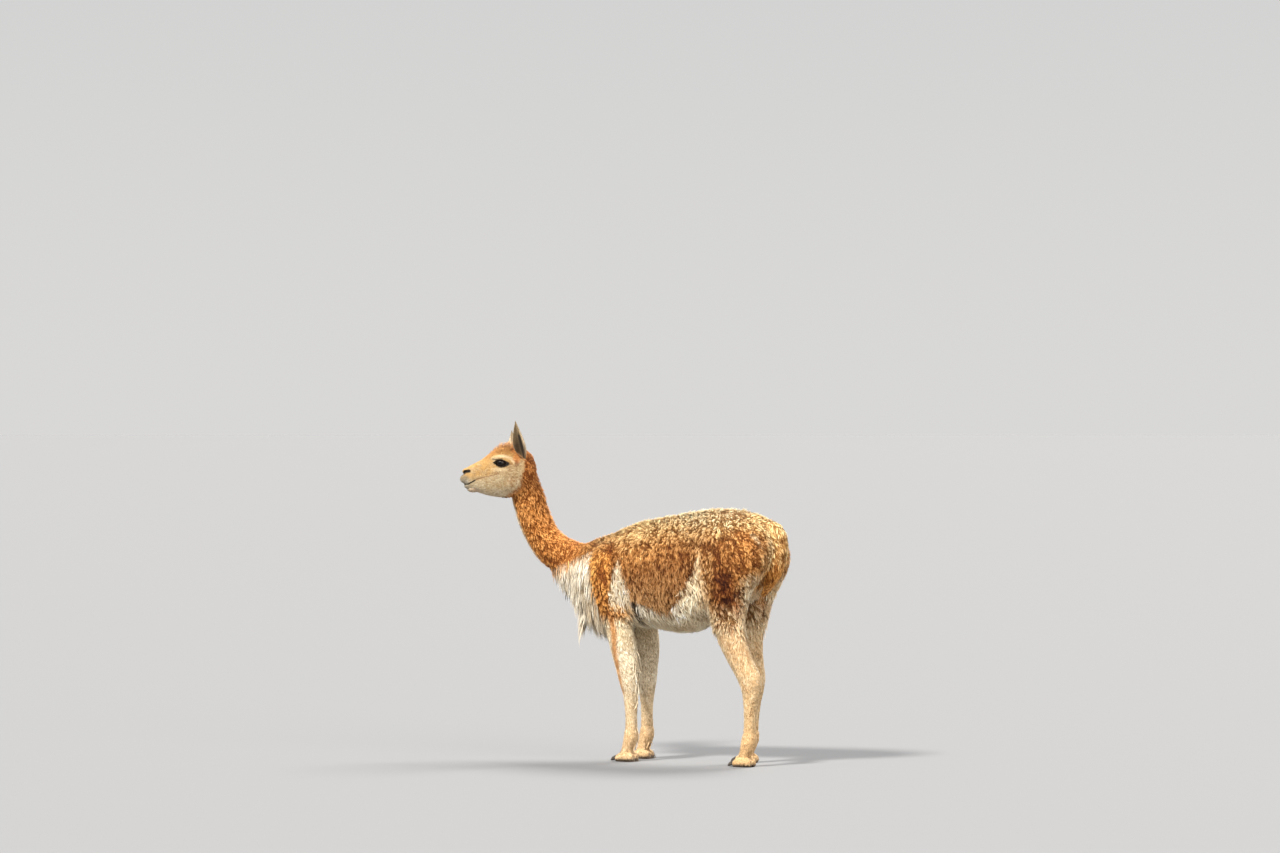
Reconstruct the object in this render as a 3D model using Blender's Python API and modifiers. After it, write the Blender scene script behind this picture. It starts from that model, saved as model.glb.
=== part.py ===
"""A vicuna standing still with its head turned to its left, life size.

Metres, +Z up. The animal faces -X, its left side is on -Y, and it stands on z = 0.
The body is modelled whole from lofted forms, parted by thin cuts into named pieces,
and then dressed with fleece clumps and with the long locks of breast, flank, belly and tail.
"""

import math
import random
from dataclasses import dataclass

import bmesh
import bpy
from mathutils import Matrix, Vector
from mathutils.bvhtree import BVHTree

# Driving dimensions of the animal, out to the tips of its coat
HIP_HEIGHT = 0.900
WITHERS_HEIGHT = 0.845
BELLY_HEIGHT = 0.450
FLEECE_DEPTH = 0.028
NECK_WOOL_DEPTH = 0.018
CORE_SHARE = 0.5
HEAD_YAW = math.radians(40)
HEAD_BASE = Vector((-0.643, -0.108, 1.028))
EYE_RADIUS = 0.0175
EYE_PLACE = Vector((0.0770, 0.0345, 0.0215))
EAR_LENGTH = 0.144
EAR_HALF_WIDTH = 0.0318
EAR_WALL = 0.0035
TOE_LENGTH = 0.072
TOE_HALF_WIDTH = 0.0155
TOE_HEIGHT = 0.040
NODE_GAP = 0.0003

# Detail of the solids
BODY_VOXEL = 0.009
HEAD_VOXEL = 0.0032
BODY_TRIANGLES = 1800
HEAD_TRIANGLES = 1200
LOFT_SIDES = 20
LOFT_STEPS = 4
SMOOTH_ROUNDS = 4
SEED = 11

CORE_INSET = FLEECE_DEPTH * CORE_SHARE
NECK_INSET = NECK_WOOL_DEPTH * CORE_SHARE
MERGE = 0.00002
FAR = 1.0

X, Y, Z = Vector((1, 0, 0)), Vector((0, 1, 0)), Vector((0, 0, 1))
SIDES = {"left": -1, "right": 1}

# Coat pieces of the solids
CLUMP_SPACING = 0.090
NECK_CLUMP_SPACING = 0.076
CLUMP_RADIUS = 0.76
CLUMP_SIDES = 6
CLUMP_STRETCH = 1.10
CLUMP_RINGS = ((-0.9, 0.80, 0.0), (0.25, 0.98, 0.0), (0.85, 0.62, 0.08))  # rise, share of the radius, lean
CLUMP_TOP = (1.0, 0.12)  # rise, lean
CLUMP_SPREAD = 0.08
COAT_LIE = Vector((0.45, 0, -0.89))
LOCK_TAPER = (0.75, 1.0, 0.90, 0.0)
LOCK_RISE = ((0.26, 0.9), (0.66, 1.0), (1.0, 0.4))  # share of the length, share of the lift
LOCK_THICKNESS = 0.012
LOCK_LIFT = 0.003
LOCK_ROOT = 0.010
LOCK_SWING = 0.10
LOCK_SPREAD = 0.12
SKIN_TURN = 0.8
SPREAD_TRIES = 40
COAT_THINNING = 0.72
SKIN_REACH = 0.001

COLOURS = {
    "fleece": ((0.50, 0.27, 0.10), 0.95),
    "pale_hair": ((0.72, 0.63, 0.48), 0.92),
    "face_fur": ((0.62, 0.42, 0.20), 0.90),
    "ear_skin": ((0.32, 0.25, 0.20), 0.85),
    "eye": ((0.012, 0.009, 0.008), 0.08),
    "nail": ((0.06, 0.05, 0.045), 0.45),
    "pad": ((0.12, 0.10, 0.09), 0.80),
}


@dataclass
class Ring:
    """One cross-section of a form: its centre, its two half-sizes and its shape."""

    centre: Vector
    half_width: float
    half_height: float
    pear: float = 0.0
    square: float = 1.0


def clear_scene():
    for found in list(bpy.data.objects):
        bpy.data.objects.remove(found)


def new_collection(name, hidden=False):
    made = bpy.data.collections.new(name)
    made.hide_render = hidden
    bpy.context.scene.collection.children.link(made)
    return made


def object_from(bm, name, collection):
    """A new object in the collection, with the bmesh as its mesh."""
    mesh = bpy.data.meshes.new(name)
    bm.to_mesh(mesh)
    bm.free()
    made = bpy.data.objects.new(name, mesh)
    collection.objects.link(made)
    return made


def apply_modifiers(obj):
    """Bakes the object's modifiers into its own mesh."""
    bpy.context.view_layer.update()
    graph = bpy.context.evaluated_depsgraph_get()
    mesh = bpy.data.meshes.new_from_object(obj.evaluated_get(graph))
    obj.modifiers.clear()
    obj.data = mesh


def boolean(obj, other, operation, solver="MANIFOLD"):
    """Joins, cuts or crosses obj with another object, or with a whole collection."""
    modifier = obj.modifiers.new(operation.lower(), "BOOLEAN")
    modifier.operation = operation
    modifier.solver = solver
    if isinstance(other, bpy.types.Collection):
        modifier.operand_type = "COLLECTION"
        modifier.collection = other
    else:
        modifier.object = other
    apply_modifiers(obj)


def empty_collection(collection):
    for found in list(collection.objects):
        bpy.data.objects.remove(found)


def face_shells(bm):
    """The closed surfaces of the bmesh, each as a set of faces."""
    unseen = set(bm.faces)
    shells = []
    while unseen:
        front = [unseen.pop()]
        shell = set(front)
        while front:
            for edge in front.pop().edges:
                for beside in edge.link_faces:
                    if beside in unseen:
                        unseen.remove(beside)
                        shell.add(beside)
                        front.append(beside)
        shells.append(shell)
    return shells


def keep_largest(obj):
    """Drops every closed surface of the object but its largest one."""
    bm = bmesh.new()
    bm.from_mesh(obj.data)
    shells = face_shells(bm)
    largest = max(shells, key=lambda shell: sum(face.calc_area() for face in shell))
    spare = [face for face in bm.faces if face not in largest]
    bmesh.ops.delete(bm, geom=spare, context="FACES")
    bmesh.ops.triangulate(bm, faces=bm.faces)
    bm.to_mesh(obj.data)
    bm.free()


def joined(objects, name, collection):
    """One object that holds copies of the meshes of all of them."""
    bm = bmesh.new()
    for found in objects:
        bm.from_mesh(found.data)
    return object_from(bm, name, collection)


def remesh(obj, voxel, triangles):
    """Fuses the object's forms into one skin, smooths it, and thins it to the number of triangles."""
    fuse = obj.modifiers.new("fuse", "REMESH")
    fuse.mode = "VOXEL"
    fuse.voxel_size = voxel
    soften = obj.modifiers.new("soften", "SMOOTH")
    soften.factor = 0.5
    soften.iterations = SMOOTH_ROUNDS
    apply_modifiers(obj)
    thin = obj.modifiers.new("thin", "DECIMATE")
    obj.data.calc_loop_triangles()
    thin.ratio = triangles / len(obj.data.loop_triangles)
    apply_modifiers(obj)
    keep_largest(obj)


def thin_out(obj, share):
    """Thins the object's mesh to a share of its triangles."""
    thin = obj.modifiers.new("thin", "DECIMATE")
    thin.ratio = share
    apply_modifiers(obj)


def grown(obj, distance, collection):
    """A copy of the object whose surface stands out by the distance."""
    copy = bpy.data.objects.new(obj.name + "_grown", obj.data.copy())
    collection.objects.link(copy)
    swell = copy.modifiers.new("swell", "DISPLACE")
    swell.strength = distance
    swell.mid_level = 0.0
    apply_modifiers(copy)
    return copy


def spline(values, share):
    """A Catmull-Rom curve through the values, read at share 0 to 1 of its whole run."""
    last = len(values) - 1
    place = min(share * last, last - 1e-9)
    k = int(place)
    t = place - k
    before, here = values[max(k - 1, 0)], values[k]
    there, after = values[k + 1], values[min(k + 2, last)]
    bend = 2 * before - 5 * here + 4 * there - after
    twist = 3 * here - before - 3 * there + after
    return 0.5 * (2 * here + (there - before) * t + bend * t * t + twist * t**3)


def smooth_rings(rings, steps=LOFT_STEPS):
    """More rings between the given ones, on smooth curves through their sizes."""
    count = (len(rings) - 1) * steps
    found = []
    for k in range(count + 1):
        share = k / count
        sizes = [
            spline([getattr(ring, name) for ring in rings], share)
            for name in ("half_width", "half_height", "pear", "square")
        ]
        found.append(Ring(spline([ring.centre for ring in rings], share), *sizes))
    return found


def ring_loop(ring, side, up, sides):
    """The points of a ring, from its side round over its top."""
    points = []
    for n in range(sides):
        angle = math.tau * n / sides
        c, s = math.cos(angle), math.sin(angle)
        across = math.copysign(abs(c) ** ring.square, c) * (1 + ring.pear * s)
        rise = math.copysign(abs(s) ** ring.square, s)
        move = side * (across * ring.half_width) + up * (rise * ring.half_height)
        points.append(ring.centre + move)
    return points


def skin_loops(name, loops, collection):
    """A closed form through loops of points, with a flat face at each end."""
    bm = bmesh.new()
    rows = [[bm.verts.new(point) for point in loop] for loop in loops]
    for low, high in zip(rows, rows[1:]):
        for n in range(len(low)):
            m = (n + 1) % len(low)
            bm.faces.new((low[n], low[m], high[m], high[n]))
    bm.faces.new(rows[0][::-1])
    bm.faces.new(rows[-1])
    bmesh.ops.remove_doubles(bm, verts=bm.verts, dist=MERGE)
    bmesh.ops.triangulate(bm, faces=bm.faces)
    bmesh.ops.recalc_face_normals(bm, faces=bm.faces)
    return object_from(bm, name, collection)


def loft(name, rings, collection, side=None, up=None, sides=LOFT_SIDES, steps=LOFT_STEPS):
    """A closed form through the rings. Without fixed axes each ring stands square to the run."""
    rings = smooth_rings(rings, steps)
    loops = []
    for k, ring in enumerate(rings):
        run = rings[min(k + 1, len(rings) - 1)].centre - rings[max(k - 1, 0)].centre
        across, rise = side, up
        if side is None:
            across = run.cross(Z).normalized()
            rise = across.cross(run).normalized()
        loops.append(ring_loop(ring, across, rise, sides))
    return skin_loops(name, loops, collection)


def ball(name, centre, halves, collection, turn=None, segments=20, rings=12):
    """A ball stretched to three half-sizes, turned by a matrix and put at its centre."""
    bm = bmesh.new()
    bmesh.ops.create_uvsphere(bm, u_segments=segments, v_segments=rings, radius=1.0)
    size = Matrix.Diagonal((*halves, 1))
    bm.transform(Matrix.Translation(centre) @ (turn or Matrix.Identity(4)) @ size)
    return object_from(bm, name, collection)


def block(name, low, high, collection, place=None):
    """A box between two corners, which a matrix may then move."""
    bm = bmesh.new()
    bmesh.ops.create_cube(bm, size=1.0)
    size = Matrix.Diagonal((high[0] - low[0], high[1] - low[1], high[2] - low[2], 1))
    centre = (Vector(low) + Vector(high)) / 2
    bm.transform((place or Matrix.Identity(4)) @ Matrix.Translation(centre) @ size)
    return object_from(bm, name, collection)


def beyond(name, point, normal, collection, gap=0.0):
    """A large block that fills the space past a plane, less a gap."""
    place = Matrix.Translation(point + normal * gap) @ normal.to_track_quat("Z", "Y").to_matrix().to_4x4()
    return block(name, (-FAR, -FAR, 0), (FAR, FAR, 2 * FAR), collection, place)


# The forms of the body. Each takes the depth by which it lies inside the tips of the coat.


def torso_rings(inset):
    """The trunk from the breast to the rump."""
    stations = (
        # x, top, bottom, half-width, pear
        (-0.476, 0.705, 0.610, 0.046, 0.0),
        (-0.455, 0.752, 0.550, 0.082, 0.0),
        (-0.400, 0.784, 0.498, 0.112, 0.0),
        (-0.320, 0.806, 0.474, 0.130, -0.05),
        (-0.225, WITHERS_HEIGHT, 0.467, 0.143, -0.10),
        (-0.110, 0.868, 0.458, 0.160, -0.12),
        (0.000, 0.887, BELLY_HEIGHT, 0.168, -0.10),
        (0.100, HIP_HEIGHT, 0.500, 0.163, -0.02),
        (0.190, 0.897, 0.540, 0.150, 0.0),
        (0.260, 0.880, 0.600, 0.128, 0.0),
        (0.315, 0.845, 0.650, 0.096, 0.0),
        (0.340, 0.800, 0.690, 0.055, 0.0),
    )
    return [
        Ring(
            Vector((x, 0, (top + bottom) / 2)),
            half - inset,
            (top - bottom) / 2 - inset,
            pear,
            0.92,
        )
        for x, top, bottom, half, pear in stations
    ]


def neck_rings(inset):
    """The neck from inside the breast up into the head, curving to the animal's left."""
    stations = (
        # centre, half-width, half-depth
        ((-0.330, 0.000, 0.655), 0.100, 0.115),
        ((-0.448, 0.000, 0.677), 0.081, 0.096),
        ((-0.515, -0.010, 0.712), 0.063, 0.075),
        ((-0.577, -0.030, 0.762), 0.058, 0.066),
        ((-0.617, -0.058, 0.850), 0.055, 0.063),
        ((-0.637, -0.083, 0.940), 0.051, 0.061),
        ((-0.647, -0.101, 1.005), 0.048, 0.058),
        ((-0.650, -0.108, 1.045), 0.034, 0.040),
    )
    return [Ring(Vector(c), width - inset, depth - inset) for c, width, depth in stations]


FORELEG = (
    # z, x, y from the middle, half fore-and-aft, half across
    (0.765, -0.290, 0.070, 0.050, 0.036),
    (0.700, -0.300, 0.088, 0.076, 0.054),
    (0.620, -0.292, 0.094, 0.080, 0.056),
    (0.545, -0.270, 0.092, 0.068, 0.050),
    (0.480, -0.252, 0.087, 0.055, 0.045),
    (0.400, -0.234, 0.081, 0.051, 0.042),
    (0.325, -0.219, 0.077, 0.045, 0.038),
    (0.272, -0.212, 0.075, 0.038, 0.034),
    (0.225, -0.209, 0.074, 0.028, 0.026),
    (0.150, -0.208, 0.073, 0.0225, 0.0210),
    (0.088, -0.208, 0.073, 0.0275, 0.0265),
    (0.050, -0.219, 0.073, 0.0240, 0.0250),
    (0.026, -0.228, 0.073, 0.0220, 0.0240),
)
HINDLEG = (
    (0.835, 0.205, 0.060, 0.085, 0.050),
    (0.760, 0.205, 0.083, 0.132, 0.072),
    (0.690, 0.200, 0.089, 0.140, 0.073),
    (0.600, 0.188, 0.092, 0.098, 0.064),
    (0.500, 0.190, 0.090, 0.071, 0.052),
    (0.430, 0.207, 0.088, 0.063, 0.046),
    (0.365, 0.236, 0.086, 0.054, 0.041),
    (0.305, 0.268, 0.085, 0.047, 0.036),
    (0.262, 0.275, 0.084, 0.036, 0.030),
    (0.205, 0.272, 0.083, 0.0265, 0.0240),
    (0.135, 0.268, 0.082, 0.0230, 0.0215),
    (0.085, 0.264, 0.082, 0.0280, 0.0265),
    (0.048, 0.253, 0.082, 0.0240, 0.0250),
    (0.026, 0.244, 0.082, 0.0220, 0.0240),
)
WOOL_ENDS = {"fore": (0.46, 0.56), "hind": (0.30, 0.50)}
STEPS_BACK = {
    # how far the foot stands from its place in the list, and the heights where the shift starts and is full
    ("fore", "left"): (0.0, 0.42, 0.30),
    ("fore", "right"): (-0.020, 0.42, 0.30),
    ("hind", "left"): (0.004, 0.50, 0.31),
    ("hind", "right"): (-0.074, 0.52, 0.31),
}


def share_between(value, low, high):
    """0 at low, 1 at high, and held there outside them."""
    return max(0.0, min(1.0, (value - low) / (high - low)))


def foot_shift(pair, side, z):
    """How far the leg is moved along x at a height."""
    shift, start, full = STEPS_BACK[pair, side]
    return shift * (1 - share_between(z, full, start))


def leg_rings(pair, side, inset):
    """One leg from inside the body down to the foot, with the wool thinning downwards."""
    found = []
    for z, x, y, fore, across in FORELEG if pair == "fore" else HINDLEG:
        depth = inset * share_between(z, *WOOL_ENDS[pair])
        centre = Vector((x + foot_shift(pair, side, z), SIDES[side] * y, z))
        found.append(Ring(centre, fore - depth, across - depth))
    return found


def head_matrix():
    """Carries the head's own frame, muzzle along +x and left cheek on +y, to its place."""
    forward = Vector((-math.cos(HEAD_YAW), -math.sin(HEAD_YAW), 0))
    return Matrix.Translation(HEAD_BASE) @ Matrix((forward, Z.cross(forward), Z)).transposed().to_4x4()


def head_forms(collection):
    """The skull, cheeks, brows, lips and chin, in the head's own frame."""
    stations = (
        # towards the muzzle, top, bottom, half-width, pear, square
        (-0.050, 0.022, -0.050, 0.026, 0.0, 1.0),
        (-0.036, 0.054, -0.072, 0.040, 0.0, 1.0),
        (0.000, 0.084, -0.090, 0.050, 0.0, 1.0),
        (0.035, 0.094, -0.098, 0.0520, 0.0, 0.95),
        (0.070, 0.090, -0.101, 0.0500, 0.06, 0.92),
        (0.096, 0.076, -0.098, 0.0440, 0.06, 0.92),
        (0.118, 0.054, -0.094, 0.0370, 0.0, 0.95),
        (0.142, 0.036, -0.087, 0.0315, -0.05, 0.95),
        (0.166, 0.023, -0.079, 0.0280, -0.05, 0.92),
        (0.187, 0.012, -0.070, 0.0250, 0.0, 0.90),
        (0.204, 0.000, -0.058, 0.0200, 0.0, 0.90),
    )
    rings = [
        Ring(Vector((x, 0, (top + bottom) / 2)), half, (top - bottom) / 2, pear, square)
        for x, top, bottom, half, pear, square in stations
    ]
    forms = [loft("skull", rings, collection, side=Y, up=Z)]
    for name, side in SIDES.items():
        y = -side
        lumps = {
            "cheek": ((0.036, 0.024 * y, -0.040), (0.056, 0.0265, 0.046)),
            "brow": ((0.078, 0.033 * y, 0.041), (0.034, 0.0145, 0.0115)),
            "nose_wing": ((0.193, 0.0105 * y, -0.007), (0.018, 0.0105, 0.0135)),
            "upper_lip": ((0.203, 0.0100 * y, -0.034), (0.0165, 0.0125, 0.0160)),
            "ear_root": ((0.006, 0.034 * y, 0.056), (0.022, 0.016, 0.024)),
        }
        for lump, (centre, halves) in lumps.items():
            forms.append(ball(lump + "_" + name, Vector(centre), halves, collection))
    forms.append(ball("lower_lip", Vector((0.190, 0, -0.0585)), (0.0145, 0.017, 0.0105), collection))
    forms.append(ball("chin", Vector((0.172, 0, -0.0705)), (0.022, 0.017, 0.012), collection))
    return forms


MOUTH = (
    # the line of the lips from the front of the muzzle back to its corner: x and z
    (0.222, -0.0530),
    (0.207, -0.0525),
    (0.192, -0.0520),
    (0.178, -0.0445),
    (0.164, -0.0360),
)
MOUTH_GROOVE = 0.0026
NOSTRIL = ((0.2095, 0.0090, -0.0165), (0.2030, 0.0165, -0.0075), (0.1900, 0.0205, -0.0055))
NOSTRIL_RADII = (0.0016, 0.0034, 0.0016)
LID_THICKNESS = 0.0028
LID_OPENING = (0.0205, 0.0120)
EYE_SPLAY = math.radians(68)
EYE_TILT = math.radians(6)


def tube(name, points, radii, collection, sides=6, steps=3):
    """A round bar through the points, whose radius follows the list."""
    rings = [Ring(Vector(p), radius, radius) for p, radius in zip(points, radii)]
    return loft(name, rings, collection, sides=sides, steps=steps)


def onto_surface(tree, point, towards):
    """The place where a ray that runs from outside towards the head's middle plane meets its skin."""
    hit = tree.ray_cast(point - towards * 0.1, towards)[0]
    return hit if hit is not None else point


def mouth_groove(tree, collection):
    """A bar sunk half into the skin along the lips, round the front of the muzzle."""
    left = [onto_surface(tree, Vector((x, 0, z)), -Y) for x, z in MOUTH[2:]]
    right = [onto_surface(tree, Vector((x, 0, z)), Y) for x, z in MOUTH[2:]]
    front = [onto_surface(tree, Vector((0.16, y, MOUTH[1][1])), -X) for y in (0.009, -0.009)]
    points = left[::-1] + front + right
    radii = [MOUTH_GROOVE * 0.5] + [MOUTH_GROOVE] * (len(points) - 2) + [MOUTH_GROOVE * 0.5]
    return tube("mouth_line", points, radii, collection, sides=5, steps=2)


def eye_axis(side):
    """The direction in which an eye looks out, in the head's own frame."""
    y = -SIDES[side]
    flat = Vector((math.cos(EYE_SPLAY), math.sin(EYE_SPLAY) * y, math.tan(EYE_TILT)))
    return flat.normalized()


def eye_centre(side):
    return Vector((EYE_PLACE.x, -SIDES[side] * EYE_PLACE.y, EYE_PLACE.z))


def lid_opening(side, collection):
    """An almond-shaped bar through the lids, along the eye's axis."""
    axis = eye_axis(side)
    along = Z.cross(axis).normalized() * SIDES[side]
    rise = axis.cross(along).normalized() * SIDES[side]
    loops = []
    for depth in (EYE_RADIUS * 0.2, EYE_RADIUS * 2):
        loop = []
        for n in range(12):
            angle = math.tau * n / 12
            c, s = math.cos(angle), math.sin(angle)
            narrow = 1 - 0.25 * c * c
            move = along * (c * LID_OPENING[0]) + rise * (s * LID_OPENING[1] * narrow)
            loop.append(eye_centre(side) + axis * depth + move)
        loops.append(loop)
    return skin_loops("lid_opening", loops, collection)


def build_head(parts, scratch):
    """The head with its lids, nostrils and the line of its mouth, cut from the neck."""
    head = joined(head_forms(scratch), "head", parts)
    empty_collection(scratch)
    neck = loft("neck_top", neck_rings(NECK_INSET)[3:], scratch)
    neck.data.transform(head_matrix().inverted())
    head = bind(head, neck)
    empty_collection(scratch)
    remesh(head, HEAD_VOXEL, HEAD_TRIANGLES)
    tree = BVHTree.FromObject(head, bpy.context.evaluated_depsgraph_get())
    for side in SIDES:
        ball("lids", eye_centre(side), [EYE_RADIUS + LID_THICKNESS] * 3, scratch, segments=12, rings=8)
    boolean(head, scratch, "UNION")
    empty_collection(scratch)
    mouth_groove(tree, scratch)
    for side, sign in SIDES.items():
        ball("socket", eye_centre(side), [EYE_RADIUS + NODE_GAP] * 3, scratch, segments=12, rings=8)
        lid_opening(side, scratch)
        points = [(x, -sign * y, z) for x, y, z in NOSTRIL]
        tube("nostril", points, NOSTRIL_RADII, scratch)
    for cutter in list(scratch.objects):
        boolean(head, cutter, "DIFFERENCE")
    empty_collection(scratch)
    head.data.transform(head_matrix())
    return head


def bind(obj, other):
    """Adds the other object's mesh to obj."""
    bm = bmesh.new()
    bm.from_mesh(obj.data)
    bm.from_mesh(other.data)
    bm.to_mesh(obj.data)
    bm.free()
    return obj


HEAD_SEAM = (Vector((-0.0035, 0, -0.049)), Vector((0.63, 0, 0.777)))
NECK_SEAM = (Vector((-0.440, 0, 0.710)), Vector((-0.76, 0, 0.65)).normalized())
NECK_BEND = (Vector((-0.597, -0.044, 0.806)), Vector((-0.40, -0.28, 0.87)).normalized())
FORE_SEAM = 0.470
FORE_REGION = (-0.335, -0.160)
LEG_ACROSS = {"fore": (0.030, 0.150), "hind": (0.012, 0.300)}
HIND_SEAM = (0.092, 0.470, 0.55)  # x and height of its front edge, and its rise towards the rump


def head_seam():
    place = head_matrix()
    return place @ HEAD_SEAM[0], (place.to_3x3() @ HEAD_SEAM[1]).normalized()


def prism(name, outline, low_y, high_y, collection):
    """A solid between two values of y, with an outline of x and z."""
    loops = [[Vector((x, y, z)) for x, z in outline] for y in (low_y, high_y)]
    return skin_loops(name, loops, collection)


def leg_region(pair, side, collection, gap=0.0):
    """The space that belongs to one leg, grown by a gap."""
    inner, outer = LEG_ACROSS[pair][0] - gap, LEG_ACROSS[pair][1] + gap
    low_y, high_y = (inner, outer) if SIDES[side] > 0 else (-outer, -inner)
    if pair == "fore":
        front, back, top_front = FORE_REGION[0] - gap, FORE_REGION[1] + gap, FORE_SEAM + gap
        top_back = top_front
    else:
        front, back, top_front = HIND_SEAM[0] - gap, HIND_SEAM[0] + FAR, HIND_SEAM[1] + gap
        top_back = top_front + FAR * HIND_SEAM[2]
    outline = ((front, -FAR), (back, -FAR), (back, top_back), (front, top_front))
    return prism(pair + "_region_" + side, outline, low_y, high_y, collection)


def trim_torso(torso, scratch):
    """Cuts the torso free of the neck's and the legs' spaces."""
    beyond("neck_side", NECK_SEAM[0], NECK_SEAM[1], scratch, -NODE_GAP)
    for pair in MIDDLE_SEAM:
        for side in SIDES:
            leg_region(pair, side, scratch, NODE_GAP)
    for cutter in list(scratch.objects):
        boolean(torso, cutter, "DIFFERENCE")
    empty_collection(scratch)
    keep_largest(torso)


def cut_away(obj, planes, scratch):
    """Cuts off what lies past each plane: a point, the way past it and a gap."""
    for point, normal, gap in planes:
        boolean(obj, beyond("cut", point, normal, scratch, gap), "DIFFERENCE")
    empty_collection(scratch)


def copy_of(obj, name, collection):
    made = bpy.data.objects.new(name, obj.data.copy())
    collection.objects.link(made)
    return made


def build_body(scratch):
    """Trunk, neck and legs as one skin at the depth of the core."""
    loft("trunk", torso_rings(CORE_INSET), scratch, side=Y, up=Z)
    loft("neck_form", neck_rings(NECK_INSET), scratch)
    for pair in ("fore", "hind"):
        for side in SIDES:
            loft(pair + side, leg_rings(pair, side, CORE_INSET), scratch, side=X, up=Y)
    body = joined(list(scratch.objects), "body", bpy.context.scene.collection)
    empty_collection(scratch)
    remesh(body, BODY_VOXEL, BODY_TRIANGLES)
    return body


EAR_BASE = (-0.006, 0.042, 0.037)  # in the head's own frame, on its left side
EAR_LEAN = {"left": (0.27, 0.22), "right": (0.18, 0.98)}
EAR_LEAF = (0.30, 0.66, 0.90, 1.0, 0.94, 0.79, 0.57, 0.31, 0.07)
EAR_FACING = (0.80, 0.60)
EAR_DEPTH = 0.72
EAR_BOW = 0.09
EAR_ARC = 6


def ear_axes(side):
    """The ear's length, the way its cup opens, and the way across it, in the head's own frame."""
    y = -SIDES[side]
    lean = EAR_LEAN[side]
    outward = Vector((lean[0], lean[1] * y, 1)).normalized()
    opening = Vector((EAR_FACING[0], EAR_FACING[1] * y, 0))
    opening = (opening - outward * opening.dot(outward)).normalized()
    return outward, opening, outward.cross(opening)


def build_ear(side, parts):
    """A leaf-shaped cup, widest low down, that opens forwards and outwards."""
    outward, opening, across = ear_axes(side)
    base = Vector((EAR_BASE[0], -EAR_BASE[1] * SIDES[side], EAR_BASE[2]))
    loops = []
    for k, leaf in enumerate(EAR_LEAF):
        t = k / (len(EAR_LEAF) - 1)
        width = EAR_HALF_WIDTH * leaf
        inside = max(width - EAR_WALL * (1 - 0.45 * t), width * 0.35)
        wrap = math.radians(116 - 34 * t)
        bow = opening * (EAR_BOW * EAR_LENGTH * math.sin(math.pi * t))
        centre = base + outward * (EAR_LENGTH * t) + bow
        loop = []
        for radius, direction in ((width, 1), (inside, -1)):
            for n in range(EAR_ARC + 1):
                angle = (n / EAR_ARC * 2 - 1) * wrap * direction
                back = opening * (math.cos(angle) * radius * EAR_DEPTH)
                loop.append(centre + across * (math.sin(angle) * radius) - back)
        loops.append(loop)
    ear = skin_loops("ear_" + side, loops, parts)
    ear.data.transform(head_matrix())
    return ear


def build_eye(side, parts):
    eye = ball("eye_" + side, eye_centre(side), [EYE_RADIUS] * 3, parts, segments=12, rings=8)
    eye.data.transform(head_matrix())
    return eye


TAIL = (
    # centre, half-width, half-depth
    ((0.290, 0.000, 0.845), 0.020, 0.018),
    ((0.338, -0.002, 0.820), 0.030, 0.026),
    ((0.356, -0.008, 0.760), 0.034, 0.028),
    ((0.344, -0.014, 0.695), 0.034, 0.028),
    ((0.318, -0.020, 0.640), 0.026, 0.022),
    ((0.292, -0.025, 0.595), 0.012, 0.010),
)
FETLOCK_SEAM = 0.072
MIDDLE_SEAM = {"fore": 0.290, "hind": 0.285}  # carpus and hock


def foot_place(pair, side):
    """The middle of the fetlock joint over a foot."""
    z, x, y = next(station[:3] for station in (FORELEG if pair == "fore" else HINDLEG) if station[0] < 0.1)
    return Vector((x + foot_shift(pair, side, z), SIDES[side] * y, 0))


def build_foot(pair, side, body, parts, scratch):
    """Pastern and two toes on soft pads, with flat soles."""
    name = pair + "_foot_" + side
    foot = copy_of(body, name, parts)
    boolean(foot, beyond("over", Vector((0, 0, FETLOCK_SEAM)), Z, scratch), "DIFFERENCE")
    boolean(foot, leg_region(pair, side, scratch), "INTERSECT")
    empty_collection(scratch)
    place = foot_place(pair, side)
    for toe in (-1, 1):
        rings = [
            # along the toe from its heel to under the nail
            Ring(place + Vector((0.016, toe * 0.0135, 0.012)), TOE_HALF_WIDTH * 0.75, 0.012),
            Ring(place + Vector((-0.004, toe * 0.0150, 0.016)), TOE_HALF_WIDTH, 0.018),
            Ring(place + Vector((-0.030, toe * 0.0165, 0.014)), TOE_HALF_WIDTH, 0.0175),
            Ring(place + Vector((-0.050, toe * 0.0170, 0.010)), TOE_HALF_WIDTH * 0.85, 0.0125),
        ]
        loft("toe", rings, scratch, side=Y, up=Z, sides=10, steps=1)
    boolean(foot, scratch, "UNION")
    empty_collection(scratch)
    boolean(foot, beyond("floor", Vector((0, 0, 0)), -Z, scratch), "DIFFERENCE")
    empty_collection(scratch)
    return foot


def build_nail(pair, side, toe, foot, parts, scratch):
    """A pointed nail that caps the toe's front."""
    place = foot_place(pair, side)
    y = toe * 0.0168
    rings = [
        Ring(place + Vector((-0.040, y, 0.0150)), 0.0098, 0.0090),
        Ring(place + Vector((-0.056, y, 0.0125)), 0.0088, 0.0085),
        Ring(place + Vector((-0.068, y * 0.98, 0.0085)), 0.0055, 0.0062),
        Ring(place + Vector((-0.074, y * 0.95, 0.0045)), 0.0020, 0.0020),
    ]
    inner = "outer" if toe * SIDES[side] > 0 else "inner"
    nail = loft(pair + "_nail_" + side + "_" + inner, rings, parts, side=Y, up=Z, sides=6, steps=1)
    boolean(nail, grown(foot, NODE_GAP, scratch), "DIFFERENCE")
    empty_collection(scratch)
    keep_largest(nail)
    return nail


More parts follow.
